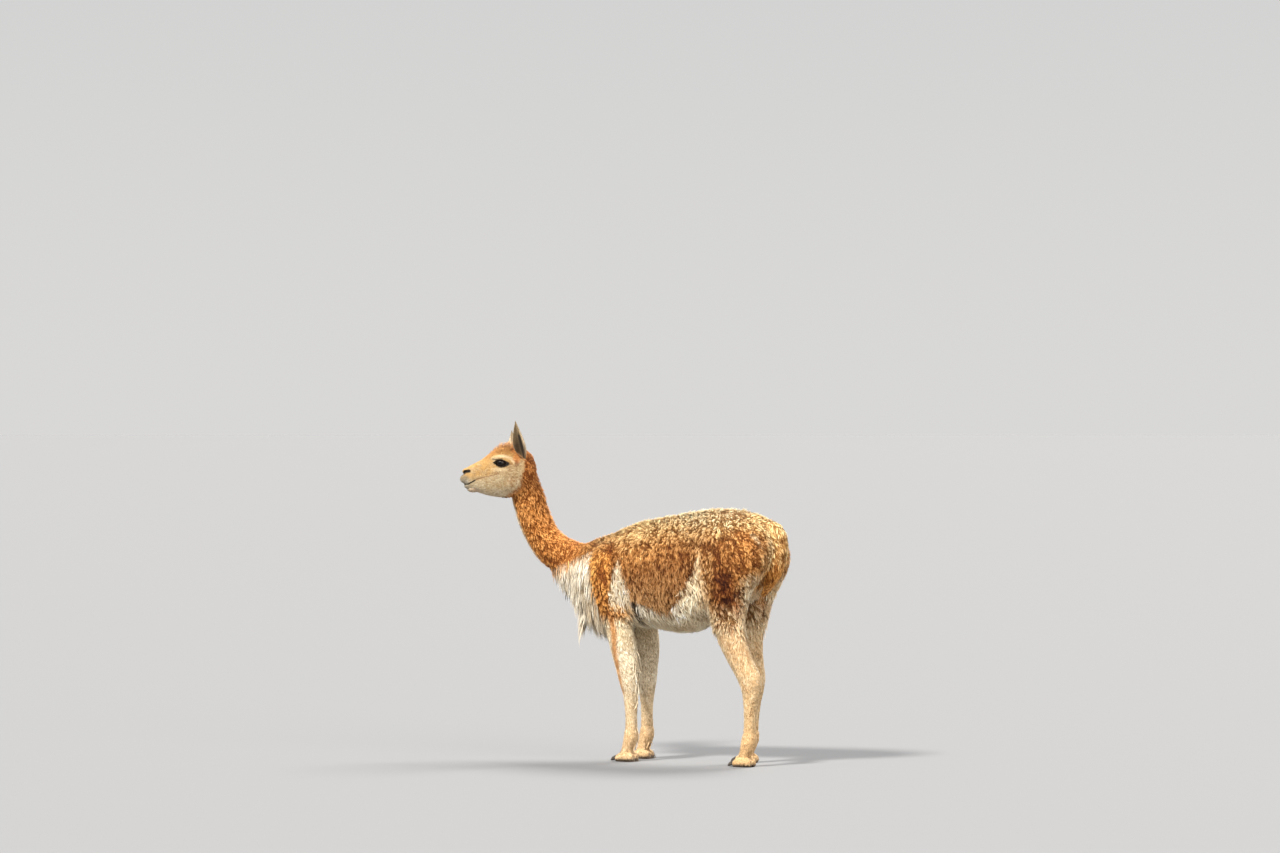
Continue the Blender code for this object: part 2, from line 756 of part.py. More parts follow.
def material(name):
    """A Principled material with the colour and roughness of one surface."""
    colour, roughness = COLOURS[name]
    made = bpy.data.materials.get(name) or bpy.data.materials.new(name)
    made.use_nodes = True
    surface = made.node_tree.nodes["Principled BSDF"]
    surface.inputs["Base Color"].default_value = (*colour, 1)
    surface.inputs["Roughness"].default_value = roughness
    surface.inputs["Metallic"].default_value = 0.0
    return made


def finish(obj, finish_name):
    """Gives the piece its material and smooth shading."""
    obj.data.materials.clear()
    obj.data.materials.append(material(finish_name))
    obj.data.shade_smooth()


def spread_points(obj, spacing, rng, wanted):
    """Places and normals on the object's skin, no two nearer than the spacing."""
    mesh = obj.data
    mesh.calc_loop_triangles()
    corners = [[mesh.vertices[i].co for i in triangle.vertices] for triangle in mesh.loop_triangles]
    areas = [triangle.area for triangle in mesh.loop_triangles]
    tries = int(sum(areas) / spacing**2 * SPREAD_TRIES)
    found = []
    for k in rng.choices(range(len(corners)), weights=areas, k=tries):
        a, b = rng.random(), rng.random()
        if a + b > 1:
            a, b = 1 - a, 1 - b
        low, mid, high = corners[k]
        point = low + (mid - low) * a + (high - low) * b
        normal = mesh.loop_triangles[k].normal.copy()
        if wanted(point, normal) and all((point - other).length > spacing for other, _ in found):
            found.append((point, normal))
    return found


def along_skin(normal, way):
    """The part of a direction that runs along the skin."""
    flat = way - normal * way.dot(normal)
    return flat.normalized() if flat.length > 1e-4 else normal.orthogonal()


def skin_tree(obj):
    return BVHTree.FromPolygons(
        [vertex.co for vertex in obj.data.vertices],
        [list(face.vertices) for face in obj.data.polygons],
    )


def clump(tree, point, normal, radius, height, turn, collection):
    """A rounded clump of fleece that follows the skin and leans along the lie of the coat."""
    lie = along_skin(normal, COAT_LIE)
    across = normal.cross(lie)
    loops = []
    for lift, share, lean in CLUMP_RINGS:
        loop = []
        for n in range(CLUMP_SIDES):
            angle = math.tau * (n + turn) / CLUMP_SIDES
            move = lie * (math.cos(angle) * CLUMP_STRETCH + lean) + across * math.sin(angle)
            foot, out, _, _ = tree.find_nearest(point + move * (share * radius))
            loop.append(foot + out * (lift * height))
        loops.append(loop)
    top = point + normal * (CLUMP_TOP[0] * height) + lie * (CLUMP_TOP[1] * radius)
    loops.append([top] * CLUMP_SIDES)
    return skin_loops("clump", loops, collection)


def fleece_clumps(obj, tree, spacing, depth, rng, collection, wanted):
    """Clumps set close over a node's share of the body's skin, as deep as the wool is there."""

    def found_on_skin(point, normal):
        return tree.find_nearest(point)[3] < SKIN_REACH and wanted(point)

    for point, normal in spread_points(obj, spacing, rng, found_on_skin):
        radius = spacing * CLUMP_RADIUS * (1 + CLUMP_SPREAD * rng.uniform(-1, 1))
        height = depth(point) * (1 - CLUMP_SPREAD * rng.random())
        clump(tree, point, normal, radius, height, rng.random(), collection)


def lock(points, outs, width, thickness, collection):
    """A flat lock that tapers along its points, its broad sides square to the ways given."""
    loops = []
    last = len(points) - 1
    for k, point in enumerate(points):
        run = (points[min(k + 1, last)] - points[max(k - 1, 0)]).normalized()
        across = run.cross(outs[k]).normalized()
        out = across.cross(run).normalized()
        share = LOCK_TAPER[k]
        wide, thick = across * (width / 2 * share), out * (thickness * share)
        loops.append([point + wide, point + thick, point - wide])
    return skin_loops("lock", loops, collection)


def hanging_lock(tree, root, normal, way, length, width, collection):
    """A lock rooted in the skin that lies on it along the way given and hangs free where the skin ends."""
    points, outs = [root - normal * LOCK_ROOT], [normal]
    place, before = root, 0.0
    for share, lift in LOCK_RISE:
        place = place + way * (length * (share - before))
        before = share
        foot, out, _, _ = tree.find_nearest(place)
        rise = LOCK_LIFT * lift
        if (place - foot).dot(out) < rise:
            place = foot + out * rise
        points.append(place)
        outs.append((normal + out * SKIN_TURN).normalized())
    return lock(points, outs, width, LOCK_THICKNESS, collection)


@dataclass
class LockRow:
    """A row of locks: where its first and last roots are sought, and how the locks hang."""

    first: tuple
    last: tuple
    look: tuple
    count: int
    length: float
    width: float
    way: tuple


BREAST_ROWS = (
    # rays run from each place on the row the way it looks, and the lock grows where they meet the skin
    LockRow((-0.70, -0.050, 0.660), (-0.70, 0.050, 0.660), (1, 0, 0), 3, 0.090, 0.050, (0.80, 0, -1)),
    LockRow((-0.70, -0.085, 0.620), (-0.70, 0.085, 0.620), (1, 0, 0), 4, 0.100, 0.052, (0.55, 0, -1)),
    LockRow((-0.70, -0.085, 0.575), (-0.70, 0.085, 0.575), (1, 0, 0), 5, 0.100, 0.050, (0.45, 0, -1)),
    LockRow((-0.70, -0.080, 0.535), (-0.70, 0.080, 0.535), (1, 0, 0), 5, 0.095, 0.048, (0.20, 0, -1)),
    LockRow((-0.400, -0.085, 0.10), (-0.400, 0.075, 0.10), (0, 0, 1), 4, 0.064, 0.048, (-0.10, -0.05, -1)),
    LockRow((-0.355, -0.090, 0.10), (-0.355, 0.090, 0.10), (0, 0, 1), 4, 0.045, 0.050, (0.05, 0, -1)),
    LockRow((-0.415, -0.060, 0.10), (-0.415, -0.020, 0.10), (0, 0, 1), 1, 0.080, 0.042, (-0.42, -0.25, -1)),
)
SIDE_ROWS = (
    # the rows of the left side, mirrored for the right: shoulder, white patch, flank, fringe, fold, thigh
    LockRow((-0.400, -0.40, 0.640), (-0.360, -0.40, 0.570), (0, 1, 0), 2, 0.100, 0.050, (0.20, 0, -1)),
    LockRow((-0.250, -0.40, 0.690), (-0.185, -0.40, 0.690), (0, 1, 0), 3, 0.130, 0.040, (0.14, 0, -1)),
    LockRow((-0.165, -0.40, 0.640), (0.030, -0.40, 0.650), (0, 1, 0), 4, 0.115, 0.056, (0.28, 0, -1)),
    LockRow((-0.165, -0.40, 0.580), (0.080, -0.40, 0.590), (0, 1, 0), 5, 0.105, 0.056, (0.24, 0, -1)),
    LockRow((-0.160, -0.40, 0.525), (0.080, -0.40, 0.535), (0, 1, 0), 5, 0.062, 0.056, (0.15, 0, -1)),
    LockRow((-0.140, -0.055, 0.10), (0.040, -0.050, 0.10), (0, 0, 1), 4, 0.032, 0.060, (0.30, 0, -1)),
    LockRow((0.056, -0.40, 0.680), (0.066, -0.40, 0.600), (0, 1, 0), 2, 0.100, 0.042, (-0.14, 0, -1)),
    LockRow((0.70, -0.120, 0.690), (0.70, -0.065, 0.690), (-1, 0, 0), 2, 0.110, 0.046, (-0.30, 0, -1)),
)
LEG_ROWS = (
    # the rear edge of the thigh below the trunk's seam, on the left leg
    LockRow((0.70, -0.110, 0.545), (0.70, -0.065, 0.545), (-1, 0, 0), 2, 0.080, 0.044, (-0.25, 0, -1)),
)
THIGH_WOOL_END = 0.42
TAIL_CORE = 0.62
TAIL_ROOM = 0.012
TAIL_ROWS = (
    LockRow((0.70, -0.030, 0.800), (0.70, 0.024, 0.800), (-1, 0, 0), 3, 0.100, 0.034, (0.05, -0.05, -1)),
    LockRow((0.70, -0.036, 0.740), (0.70, 0.018, 0.740), (-1, 0, 0), 3, 0.100, 0.034, (-0.20, -0.08, -1)),
    LockRow((0.70, -0.036, 0.680), (0.70, 0.006, 0.680), (-1, 0, 0), 3, 0.090, 0.032, (-0.42, -0.10, -1)),
    LockRow((0.70, -0.032, 0.635), (0.70, -0.010, 0.635), (-1, 0, 0), 2, 0.080, 0.028, (-0.42, -0.10, -1)),
)


def lock_row(row, tree, rng, collection, side=-1):
    """The locks of one row, rooted where its rays meet the skin, mirrored for the right side."""
    flip = Vector((1, -side, 1))
    for n in range(row.count):
        share = (n + 0.5 + rng.uniform(-0.2, 0.2)) / row.count
        start = Vector(row.first).lerp(Vector(row.last), share) * flip
        point, normal, _, _ = tree.ray_cast(start, Vector(row.look) * flip)
        if point is None:
            continue
        swing = Vector((rng.uniform(-1, 1), rng.uniform(-1, 1), 0)) * LOCK_SWING
        way = (Vector(row.way) * flip + swing).normalized()
        length = row.length * (1 + LOCK_SPREAD * rng.uniform(-1, 1))
        hanging_lock(tree, point, normal, way, length, row.width, collection)


def in_row_zone(point):
    """Whether the coat is long there: breast, lower flank and belly."""
    breast = point.x < -0.40 and point.z < 0.66
    flank = -0.18 < point.x < 0.10 and point.z < 0.61
    return breast or flank or point.z < 0.50


def dress_torso(torso, share, skin, scratch):
    """Fleece clumps over back, flanks and thighs, and the long locks of breast, flank and belly."""
    rng = random.Random(SEED)

    def depth(point):
        return CORE_INSET

    fleece_clumps(share, skin, CLUMP_SPACING, depth, rng, scratch, lambda p: not in_row_zone(p))
    for row in BREAST_ROWS:
        lock_row(row, skin, rng, scratch)
    for row in SIDE_ROWS:
        for side in SIDES.values():
            lock_row(row, skin, rng, scratch, side)
    fuse_coat(torso, scratch)


def dress_neck(neck, share, skin, scratch):
    """Shallow clumps of short wool round the neck."""
    rng = random.Random(SEED)
    fleece_clumps(share, skin, NECK_CLUMP_SPACING, lambda p: NECK_INSET, rng, scratch, lambda p: True)
    fuse_coat(neck, scratch)


def dress_thigh(leg, share, skin, side, scratch):
    """Clumps that thin out down the thigh, and the pale locks of its rear edge."""
    rng = random.Random(SEED)

    def depth(point):
        return CORE_INSET * share_between(point.z, *WOOL_ENDS["hind"])

    fleece_clumps(share, skin, CLUMP_SPACING, depth, rng, scratch, lambda p: p.z > THIGH_WOOL_END)
    for row in LEG_ROWS:
        lock_row(row, skin, rng, scratch, SIDES[side])
    fuse_coat(leg, scratch)


def build_neck(body, skin, parts, scratch):
    """The two lengths of the neck, between the head's seam and the breast's."""
    seam_at, seam_normal = head_seam()
    ends = ((seam_at, seam_normal, -NODE_GAP), (NECK_SEAM[0], -NECK_SEAM[1], 0.0))
    whole = bpy.context.scene.collection
    share = copy_of(body, "neck_share", whole)
    cut_away(share, ends, scratch)
    keep_largest(share)
    neck = copy_of(body, "neck", whole)
    dress_neck(neck, share, skin, scratch)
    cut_away(neck, ends, scratch)
    keep_largest(neck)
    upper = copy_of(neck, "neck_upper", parts)
    cut_away(upper, ((NECK_BEND[0], -NECK_BEND[1], 0.0),), scratch)
    lower = copy_of(neck, "neck_lower", parts)
    cut_away(lower, ((NECK_BEND[0], NECK_BEND[1], -NODE_GAP),), scratch)
    bpy.data.objects.remove(share)
    bpy.data.objects.remove(neck)
    return upper, lower


def build_torso(body, skin, parts, scratch):
    """The trunk with its coat, free of the neck's, the legs' and the tail's spaces."""
    share = copy_of(body, "torso_share", bpy.context.scene.collection)
    trim_torso(share, scratch)
    torso = copy_of(body, "torso", parts)
    dress_torso(torso, share, skin, scratch)
    trim_torso(torso, scratch)
    bpy.data.objects.remove(share)
    tail_room(scratch, NODE_GAP)
    boolean(torso, scratch, "DIFFERENCE")
    empty_collection(scratch)
    return torso


def build_leg(pair, side, body, skin, parts, scratch):
    """A leg's upper and lower length, the upper one dressed where it is a thigh."""
    middle = Vector((0, 0, MIDDLE_SEAM[pair]))
    ankle = Vector((0, 0, FETLOCK_SEAM))
    name = pair + "_leg_" + side
    upper = copy_of(body, name + "_upper", parts)
    lower = copy_of(body, name + "_lower", parts)
    if pair == "hind":
        share = copy_of(body, "thigh_share", bpy.context.scene.collection)
        boolean(share, leg_region(pair, side, scratch), "INTERSECT")
        cut_away(share, ((middle, -Z, -NODE_GAP),), scratch)
        dress_thigh(upper, share, skin, side, scratch)
        bpy.data.objects.remove(share)
    for length in (upper, lower):
        boolean(length, leg_region(pair, side, scratch), "INTERSECT")
        empty_collection(scratch)
    cut_away(upper, ((middle, -Z, -NODE_GAP),), scratch)
    cut_away(lower, ((middle, Z, 0.0), (ankle, -Z, -NODE_GAP)), scratch)
    finish(lower, "pale_hair")
    return upper


def build_tail(parts, scratch):
    """The hanging tail: a slim core under long flat locks, kept within its own room."""
    rings = [Ring(Vector(c), w * TAIL_CORE, d * TAIL_CORE) for c, w, d in TAIL]
    tail = loft("tail", rings, parts, side=Y, up=X, sides=10, steps=2)
    rng = random.Random(SEED)
    tree = skin_tree(tail)
    for row in TAIL_ROWS:
        lock_row(row, tree, rng, scratch)
    fuse_coat(tail, scratch)
    tail_room(scratch, 0.0)
    boolean(tail, scratch, "INTERSECT")
    empty_collection(scratch)
    keep_largest(tail)
    return tail


def tail_room(scratch, gap):
    """The space kept for the tail between the buttocks and behind them."""
    rings = []
    for centre, width, depth in TAIL:
        back = Vector(centre) + X * (TAIL_ROOM / 2)
        rings.append(Ring(back, width + TAIL_ROOM / 4 + gap, depth + TAIL_ROOM / 2 + gap))
    rings[-1].centre = rings[-1].centre - Z * TAIL_ROOM * 2
    return loft("tail_room", rings, scratch, side=Y, up=X, sides=12, steps=2)


def fuse_coat(obj, scratch):
    """Joins the pieces of the coat to their node in one union."""
    boolean(obj, scratch, "UNION")
    empty_collection(scratch)
    keep_largest(obj)


def to_origin(parts):
    """Moves the whole animal so that the middle of its box, at the floor, is the origin."""
    corners = [vertex.co for obj in parts.objects for vertex in obj.data.vertices]
    middle = [(min(c[k] for c in corners) + max(c[k] for c in corners)) / 2 for k in (0, 1)]
    for obj in parts.objects:
        obj.data.transform(Matrix.Translation((-middle[0], -middle[1], 0)))


def main():
    clear_scene()
    parts = new_collection("vicuna")
    scratch = new_collection("cutters", hidden=True)
    body = build_body(scratch)
    skin = skin_tree(body)
    seam_at, seam_normal = head_seam()

    head = build_head(parts, scratch)
    cut_away(head, ((seam_at, -seam_normal, 0.0),), scratch)
    finish(head, "face_fur")

    neck_upper, neck_lower = build_neck(body, skin, parts, scratch)
    torso = build_torso(body, skin, parts, scratch)
    tail = build_tail(parts, scratch)
    thighs = []
    for pair in MIDDLE_SEAM:
        for side in SIDES:
            upper = build_leg(pair, side, body, skin, parts, scratch)
            finish(upper, "pale_hair")
            if pair == "hind":
                thighs.append(upper)
            foot = build_foot(pair, side, body, parts, scratch)
            finish(foot, "pale_hair")
            for toe in (-1, 1):
                finish(build_nail(pair, side, toe, foot, parts, scratch), "nail")
    for thigh in thighs:
        boolean(tail, grown(thigh, NODE_GAP, scratch), "DIFFERENCE")
        empty_collection(scratch)

    for side in SIDES:
        ear = build_ear(side, parts)
        boolean(ear, grown(head, NODE_GAP, scratch), "DIFFERENCE")
        empty_collection(scratch)
        finish(ear, "ear_skin")
        finish(build_eye(side, parts), "eye")

    bpy.data.objects.remove(body)
    for obj in parts.objects:
        keep_largest(obj)
    for obj in (torso, neck_upper, neck_lower, tail, *thighs):
        thin_out(obj, COAT_THINNING)
    for obj in (torso, neck_upper, neck_lower, tail):
        finish(obj, "fleece")
    to_origin(parts)


main()
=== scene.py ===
"""Looks of a vicuna that stands still, its head turned to its left.

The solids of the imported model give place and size. Over them this script models one skin
for head, neck, trunk, legs and tail, then the ears, eyes, lids and nails, and dresses the
skin with fleece, hanging locks and short hair as solid tufts. Metres, +Z up; the animal
faces -X and its left side is on -Y.
"""

import logging
import math
from dataclasses import dataclass
from enum import Enum
from typing import Callable, Sequence

import bmesh
import bpy
import numpy as np
from mathutils import Matrix, Vector
from mathutils.bvhtree import BVHTree
from mathutils.kdtree import KDTree


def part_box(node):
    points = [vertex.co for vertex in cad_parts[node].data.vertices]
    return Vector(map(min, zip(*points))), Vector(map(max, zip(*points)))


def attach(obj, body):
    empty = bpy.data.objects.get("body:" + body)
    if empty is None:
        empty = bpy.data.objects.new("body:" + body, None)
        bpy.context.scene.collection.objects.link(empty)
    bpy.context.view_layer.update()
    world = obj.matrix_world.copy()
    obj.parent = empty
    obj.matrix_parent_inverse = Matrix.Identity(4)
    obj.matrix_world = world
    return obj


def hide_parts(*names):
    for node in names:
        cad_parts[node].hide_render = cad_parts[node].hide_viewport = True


LOG = logging.getLogger("vicuna")
SEED = 7
PIECE_TRIANGLES = 185000
BAKE_PATCH = 0.003
HEAD_DIMMING = 0.66
# How dark the painted shade in the coat's creases is.
CREASE_SHADE = 0.86
SEAM_OVERLAP = 0.003
X, Y, Z = Vector((1, 0, 0)), Vector((0, 1, 0)), Vector((0, 0, 1))
Array = np.ndarray
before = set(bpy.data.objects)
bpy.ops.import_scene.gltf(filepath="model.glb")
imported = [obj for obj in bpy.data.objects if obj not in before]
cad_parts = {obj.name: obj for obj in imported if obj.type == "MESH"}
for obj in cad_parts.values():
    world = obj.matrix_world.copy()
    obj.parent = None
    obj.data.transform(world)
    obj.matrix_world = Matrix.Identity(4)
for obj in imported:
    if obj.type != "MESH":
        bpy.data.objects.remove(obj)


class Side(Enum):
    """The animal's two sides, with the sign of their y."""

    LEFT = -1
    RIGHT = 1

    @property
    def word(self) -> str:
        """The side's name in lower case."""
        return self.name.lower()


class Pair(Enum):
    """The two pairs of legs."""

    FORE = "fore"
    HIND = "hind"


@dataclass(frozen=True)
class Ring:
    """One cross-section of a form: its centre, its two half-sizes and its shape."""

    centre: Vector
    half_width: float
    half_height: float
    pear: float = 0.0
    square: float = 1.0


# Numbers and fields


def soft(value: Array, edge: float, width: float) -> Array:
    """A smooth step from 0 to 1 that passes one half at the edge.

    Args:
        value: The numbers to test.
        edge: Where the step stands.
        width: The whole width of the step.

    Returns:
        The share, 0 to 1.
    """
    t = np.clip((value - edge) / width + 0.5, 0.0, 1.0)
    return t * t * (3 - 2 * t)


def window(value: Array, low: float, high: float, width: float) -> Array:
    """One between two edges and 0 outside, with soft edges."""
    return soft(value, low, width) * (1 - soft(value, high, width))


def mirrored(points: Array) -> Array:
    """The places with their right side laid over their left one, as x, distance and z."""
    x, y, z = points.T
    return np.stack([x, np.abs(y), z], axis=1)


def unit(vectors: Array) -> Array:
    """The vectors at length one."""
    return vectors / np.maximum(np.linalg.norm(vectors, axis=-1, keepdims=True), 1e-9)


def along(vectors: Array, normals: Array) -> Array:
    """The part of each vector that runs along the skin, at length one."""
    return unit(vectors - normals * (vectors * normals).sum(-1, keepdims=True))


def lattice_noise(points: Array, scale: float, seed: int) -> Array:
    """Smooth noise from random values at the corners of a cubic lattice.

    Args:
        points: Places, one to a row.
        scale: Cells to the metre.
        seed: Changes the values.

    Returns:
        Numbers from -1 to 1.
    """
    place = points * scale + seed * 17.31
    cell = np.floor(place).astype(np.int64)
    t = place - cell
    t = t * t * (3 - 2 * t)
    total = np.zeros(len(points))
    for corner in range(8):
        step = np.array([corner & 1, corner >> 1 & 1, corner >> 2])
        key = (cell + step) @ np.array([73856093, 19349663, 83492791]) + seed * 2654435761
        key = (key ^ (key >> 13)) * 1274126177 & 0xFFFFFFFF
        value = (key ^ (key >> 16)) % 65536 / 32767.5 - 1
        total += value * np.where(step, t, 1 - t).prod(1)
    return total


def fractal_noise(points: Array, scale: float, seed: int, octaves: int = 3) -> Array:
    """Lattice noise summed over octaves, about -1 to 1."""
    total, weight = np.zeros(len(points)), 0.0
    for k in range(octaves):
        total += lattice_noise(points, scale * 2**k, seed + k) * 0.5**k
        weight += 0.5**k
    return total / weight * 1.4


def streaks(points: Array, flat: float, scale: float, seed: int) -> Array:
    """Noise drawn out along z, by a share of its own scale there."""
    return fractal_noise(points * np.array([1, 1, flat]), scale, seed)


def spline(values: Sequence, share: float) -> float | Vector:
    """A Catmull-Rom curve through the values.

    Args:
        values: Numbers or vectors at even steps.
        share: Place on the curve, 0 to 1.

    Returns:
        The value there, of the same kind as the given ones.
    """
    last = len(values) - 1
    place = min(share * last, last - 1e-9)
    k = int(place)
    t = place - k
    before, here = values[max(k - 1, 0)], values[k]
    there, after = values[k + 1], values[min(k + 2, last)]
    bend = 2 * before - 5 * here + 4 * there - after
    twist = 3 * here - before - 3 * there + after
    return 0.5 * (2 * here + (there - before) * t + bend * t * t + twist * t**3)


def smooth_rings(rings: Sequence[Ring], steps: int) -> list[Ring]:
    """More rings between the given ones, on smooth curves through their sizes."""
    count = (len(rings) - 1) * steps
    found = []
    for k in range(count + 1):
        share = k / count
        sizes = [
            spline([getattr(ring, name) for ring in rings], share)
            for name in ("half_width", "half_height", "pear", "square")
        ]
        found.append(Ring(spline([ring.centre for ring in rings], share), *sizes))
    return found


def ring_points(ring: Ring, side: Vector, up: Vector, sides: int) -> list[Vector]:
    """The points of a ring, from its side round over its top."""
    points = []
    for n in range(sides):
        angle = math.tau * n / sides
        c, s = math.cos(angle), math.sin(angle)
        across = math.copysign(abs(c) ** ring.square, c) * (1 + ring.pear * s)
        rise = math.copysign(abs(s) ** ring.square, s)
        points.append(ring.centre + side * (across * ring.half_width) + up * (rise * ring.half_height))
    return points


# Modelling operators


class Bench:
    """The modelling operators that the pieces are made with."""

    @staticmethod
    def clear_selection() -> None:
        """Leaves nothing selected and object mode on."""
        if bpy.context.object and bpy.context.object.mode != "OBJECT":
            bpy.ops.object.mode_set(mode="OBJECT")
        bpy.ops.object.select_all(action="DESELECT")

    @staticmethod
    def take(obj: bpy.types.Object) -> None:
        """Makes one object the only selected one and the active one."""
        Bench.clear_selection()
        obj.select_set(True)
        bpy.context.view_layer.objects.active = obj

    @staticmethod
    def named(name: str) -> bpy.types.Object:
        """Names the active object and puts its scale, turn and place into its mesh."""
        obj = bpy.context.object
        obj.name = name
        obj.data.name = name
        bpy.ops.object.transform_apply(location=True, rotation=True, scale=True)
        return obj

    @staticmethod
    def loft(
        name: str,
        rings: Sequence[Ring],
        steps: int = 4,
        sides: int = 24,
        side: Vector | None = None,
        up: Vector | None = None,
    ) -> bpy.types.Object:
        """A closed form: a disc is extruded from ring to ring, and its rim is set to each.

        Args:
            name: The object's name.
            rings: Its cross-sections.
            steps: Rings made out of each given interval.
            sides: Points to a ring.
            side: The fixed way across the rings, or none where they stand square to the run.
            up: The fixed way up in the rings.

        Returns:
            The new object.
        """
        rings = smooth_rings(rings, steps)
        loops = []
        for k, ring in enumerate(rings):
            run = rings[min(k + 1, len(rings) - 1)].centre - rings[max(k - 1, 0)].centre
            across, rise = side, up
            if side is None:
                across = run.cross(Z).normalized()
                rise = across.cross(run).normalized()
            loops.append(ring_points(ring, across, rise, sides))
        return Bench.loft_loops(name, loops)

    @staticmethod
    def loft_loops(name: str, loops: Sequence[Sequence[Vector]]) -> bpy.types.Object:
        """A closed form: a disc is extruded from loop to loop, and its rim is set to each.

        Args:
            name: The object's name.
            loops: Loops of points, all with the same count.

        Returns:
            The new object, in triangles.
        """
        sides = len(loops[0])
        Bench.clear_selection()
        bpy.ops.mesh.primitive_circle_add(vertices=sides, radius=1.0, fill_type="NGON")
        obj = Bench.named(name)
        bpy.ops.object.mode_set(mode="EDIT")
        bpy.ops.mesh.select_all(action="SELECT")
        for k, loop in enumerate(loops):
            if k:
                bpy.ops.mesh.extrude_region_move(TRANSFORM_OT_translate={"value": (0, 0, 0.001)})
            bm = bmesh.from_edit_mesh(obj.data)
            face = next(f for f in bm.faces if f.select and len(f.verts) == sides)
            for corner, point in zip(face.loops, loop):
                corner.vert.co = point
            bmesh.update_edit_mesh(obj.data)
        bpy.ops.mesh.select_all(action="SELECT")
        bpy.ops.mesh.normals_make_consistent(inside=False)
        bpy.ops.mesh.quads_convert_to_tris()
        bpy.ops.object.mode_set(mode="OBJECT")
        return obj

    @staticmethod
    def ball(
        name: str,
        centre: Vector,
        halves: Sequence[float],
        turn: Matrix | None = None,
        segments: int = 32,
        rings: int = 20,
    ) -> bpy.types.Object:
        """A ball stretched to three half-sizes.

        Args:
            name: The object's name.
            centre: Its middle.
            halves: Its three half-sizes.
            turn: Its turn, if any.
            segments: Meridians.
            rings: Parallels.

        Returns:
            The new object.
        """
        Bench.clear_selection()
        bpy.ops.mesh.primitive_uv_sphere_add(segments=segments, ring_count=rings, radius=1.0)
        obj = bpy.context.object
        obj.matrix_world = (
            Matrix.Translation(centre) @ (turn or Matrix.Identity(4)) @ Matrix.Diagonal((*halves, 1))
        )
        return Bench.named(name)

    @staticmethod
    def join(objects: Sequence[bpy.types.Object], name: str) -> bpy.types.Object:
        """Joins objects into one."""
        Bench.clear_selection()
        for obj in objects:
            obj.select_set(True)
        bpy.context.view_layer.objects.active = objects[0]
        bpy.ops.object.join()
        return Bench.named(name)

    @staticmethod
    def apply(obj: bpy.types.Object, kind: str, **settings: object) -> bpy.types.Object:
        """Adds a modifier, sets it and applies it.

        Args:
            obj: The object.
            kind: The modifier's type.
            **settings: Its values by name.

        Returns:
            The same object.
        """
        Bench.take(obj)
        modifier = obj.modifiers.new(kind.lower(), kind)
        for name, value in settings.items():
            setattr(modifier, name, value)
        bpy.ops.object.modifier_apply(modifier=modifier.name)
        return obj

    @staticmethod
    def fuse(obj: bpy.types.Object, voxel: float, rounds: int = 4, factor: float = 0.5) -> bpy.types.Object:
        """Fuses crossing forms into one skin and softens it."""
        Bench.apply(obj, "REMESH", mode="VOXEL", voxel_size=voxel)
        if rounds:
            Bench.apply(obj, "SMOOTH", factor=factor, iterations=rounds)
        return obj

    @staticmethod
    def unite(obj: bpy.types.Object, other: bpy.types.Object, operation: str) -> bpy.types.Object:
        """Joins, cuts or crosses two closed meshes and drops the second."""
        Bench.apply(obj, "BOOLEAN", operation=operation, solver="MANIFOLD", object=other)
        bpy.data.objects.remove(other)
        return obj

    @staticmethod
    def tube(
        name: str, points: Sequence[Vector], radii: Sequence[float], steps: int = 3, sides: int = 10
    ) -> bpy.types.Object:
        """A round bar through the points, whose radius follows the list."""
        rings = [Ring(Vector(p), radius, radius) for p, radius in zip(points, radii)]
        return Bench.loft(name, rings, steps=steps, sides=sides)

    @staticmethod
    def cut_past(obj: bpy.types.Object, point: Vector, normal: Vector) -> bpy.types.Object:
        """Cuts off what lies past a plane and closes the cut."""
        Bench.take(obj)
        bpy.ops.object.mode_set(mode="EDIT")
        bpy.ops.mesh.select_all(action="SELECT")
        bpy.ops.mesh.bisect(plane_co=point, plane_no=normal, use_fill=True, clear_outer=True)
        bpy.ops.mesh.select_all(action="SELECT")
        bpy.ops.mesh.quads_convert_to_tris(ngon_method="BEAUTY")
        bpy.ops.object.mode_set(mode="OBJECT")
        return obj

    @staticmethod
    def tree(obj: bpy.types.Object) -> BVHTree:
        """A search tree over the object's faces."""
        faces = [list(face.vertices) for face in obj.data.polygons]
        return BVHTree.FromPolygons([vert.co for vert in obj.data.vertices], faces)


# The animal's forms, in its own frame: the middle plane is y = 0, the floor is z = 0


@dataclass(frozen=True)
class Trunk:
    """The trunk from the breast to the rump, as deep under the coat as the wool is there."""

    wool: float = 0.014
    stations: tuple = (
        # x, top, bottom, half-width, pear
        (-0.476, 0.705, 0.610, 0.046, 0.0),
        (-0.455, 0.752, 0.550, 0.082, 0.0),
        (-0.400, 0.784, 0.498, 0.112, 0.0),
        (-0.320, 0.806, 0.474, 0.130, -0.05),
        (-0.225, 0.845, 0.467, 0.143, -0.10),
        (-0.110, 0.868, 0.458, 0.160, -0.12),
        (0.000, 0.887, 0.450, 0.168, -0.10),
        (0.100, 0.900, 0.500, 0.163, -0.02),
        (0.190, 0.897, 0.540, 0.150, 0.0),
        (0.260, 0.880, 0.600, 0.128, 0.0),
        (0.315, 0.845, 0.650, 0.096, 0.0),
        (0.340, 0.800, 0.690, 0.055, 0.0),
    )

    def build(self) -> bpy.types.Object:
        """The trunk's closed form."""
        rings = [
            Ring(Vector((x, 0, (top + low) / 2)), half - self.wool, (top - low) / 2 - self.wool, pear, 0.92)
            for x, top, low, half, pear in self.stations
        ]
        return Bench.loft("trunk_form", rings, steps=6, sides=40, side=Y, up=Z)


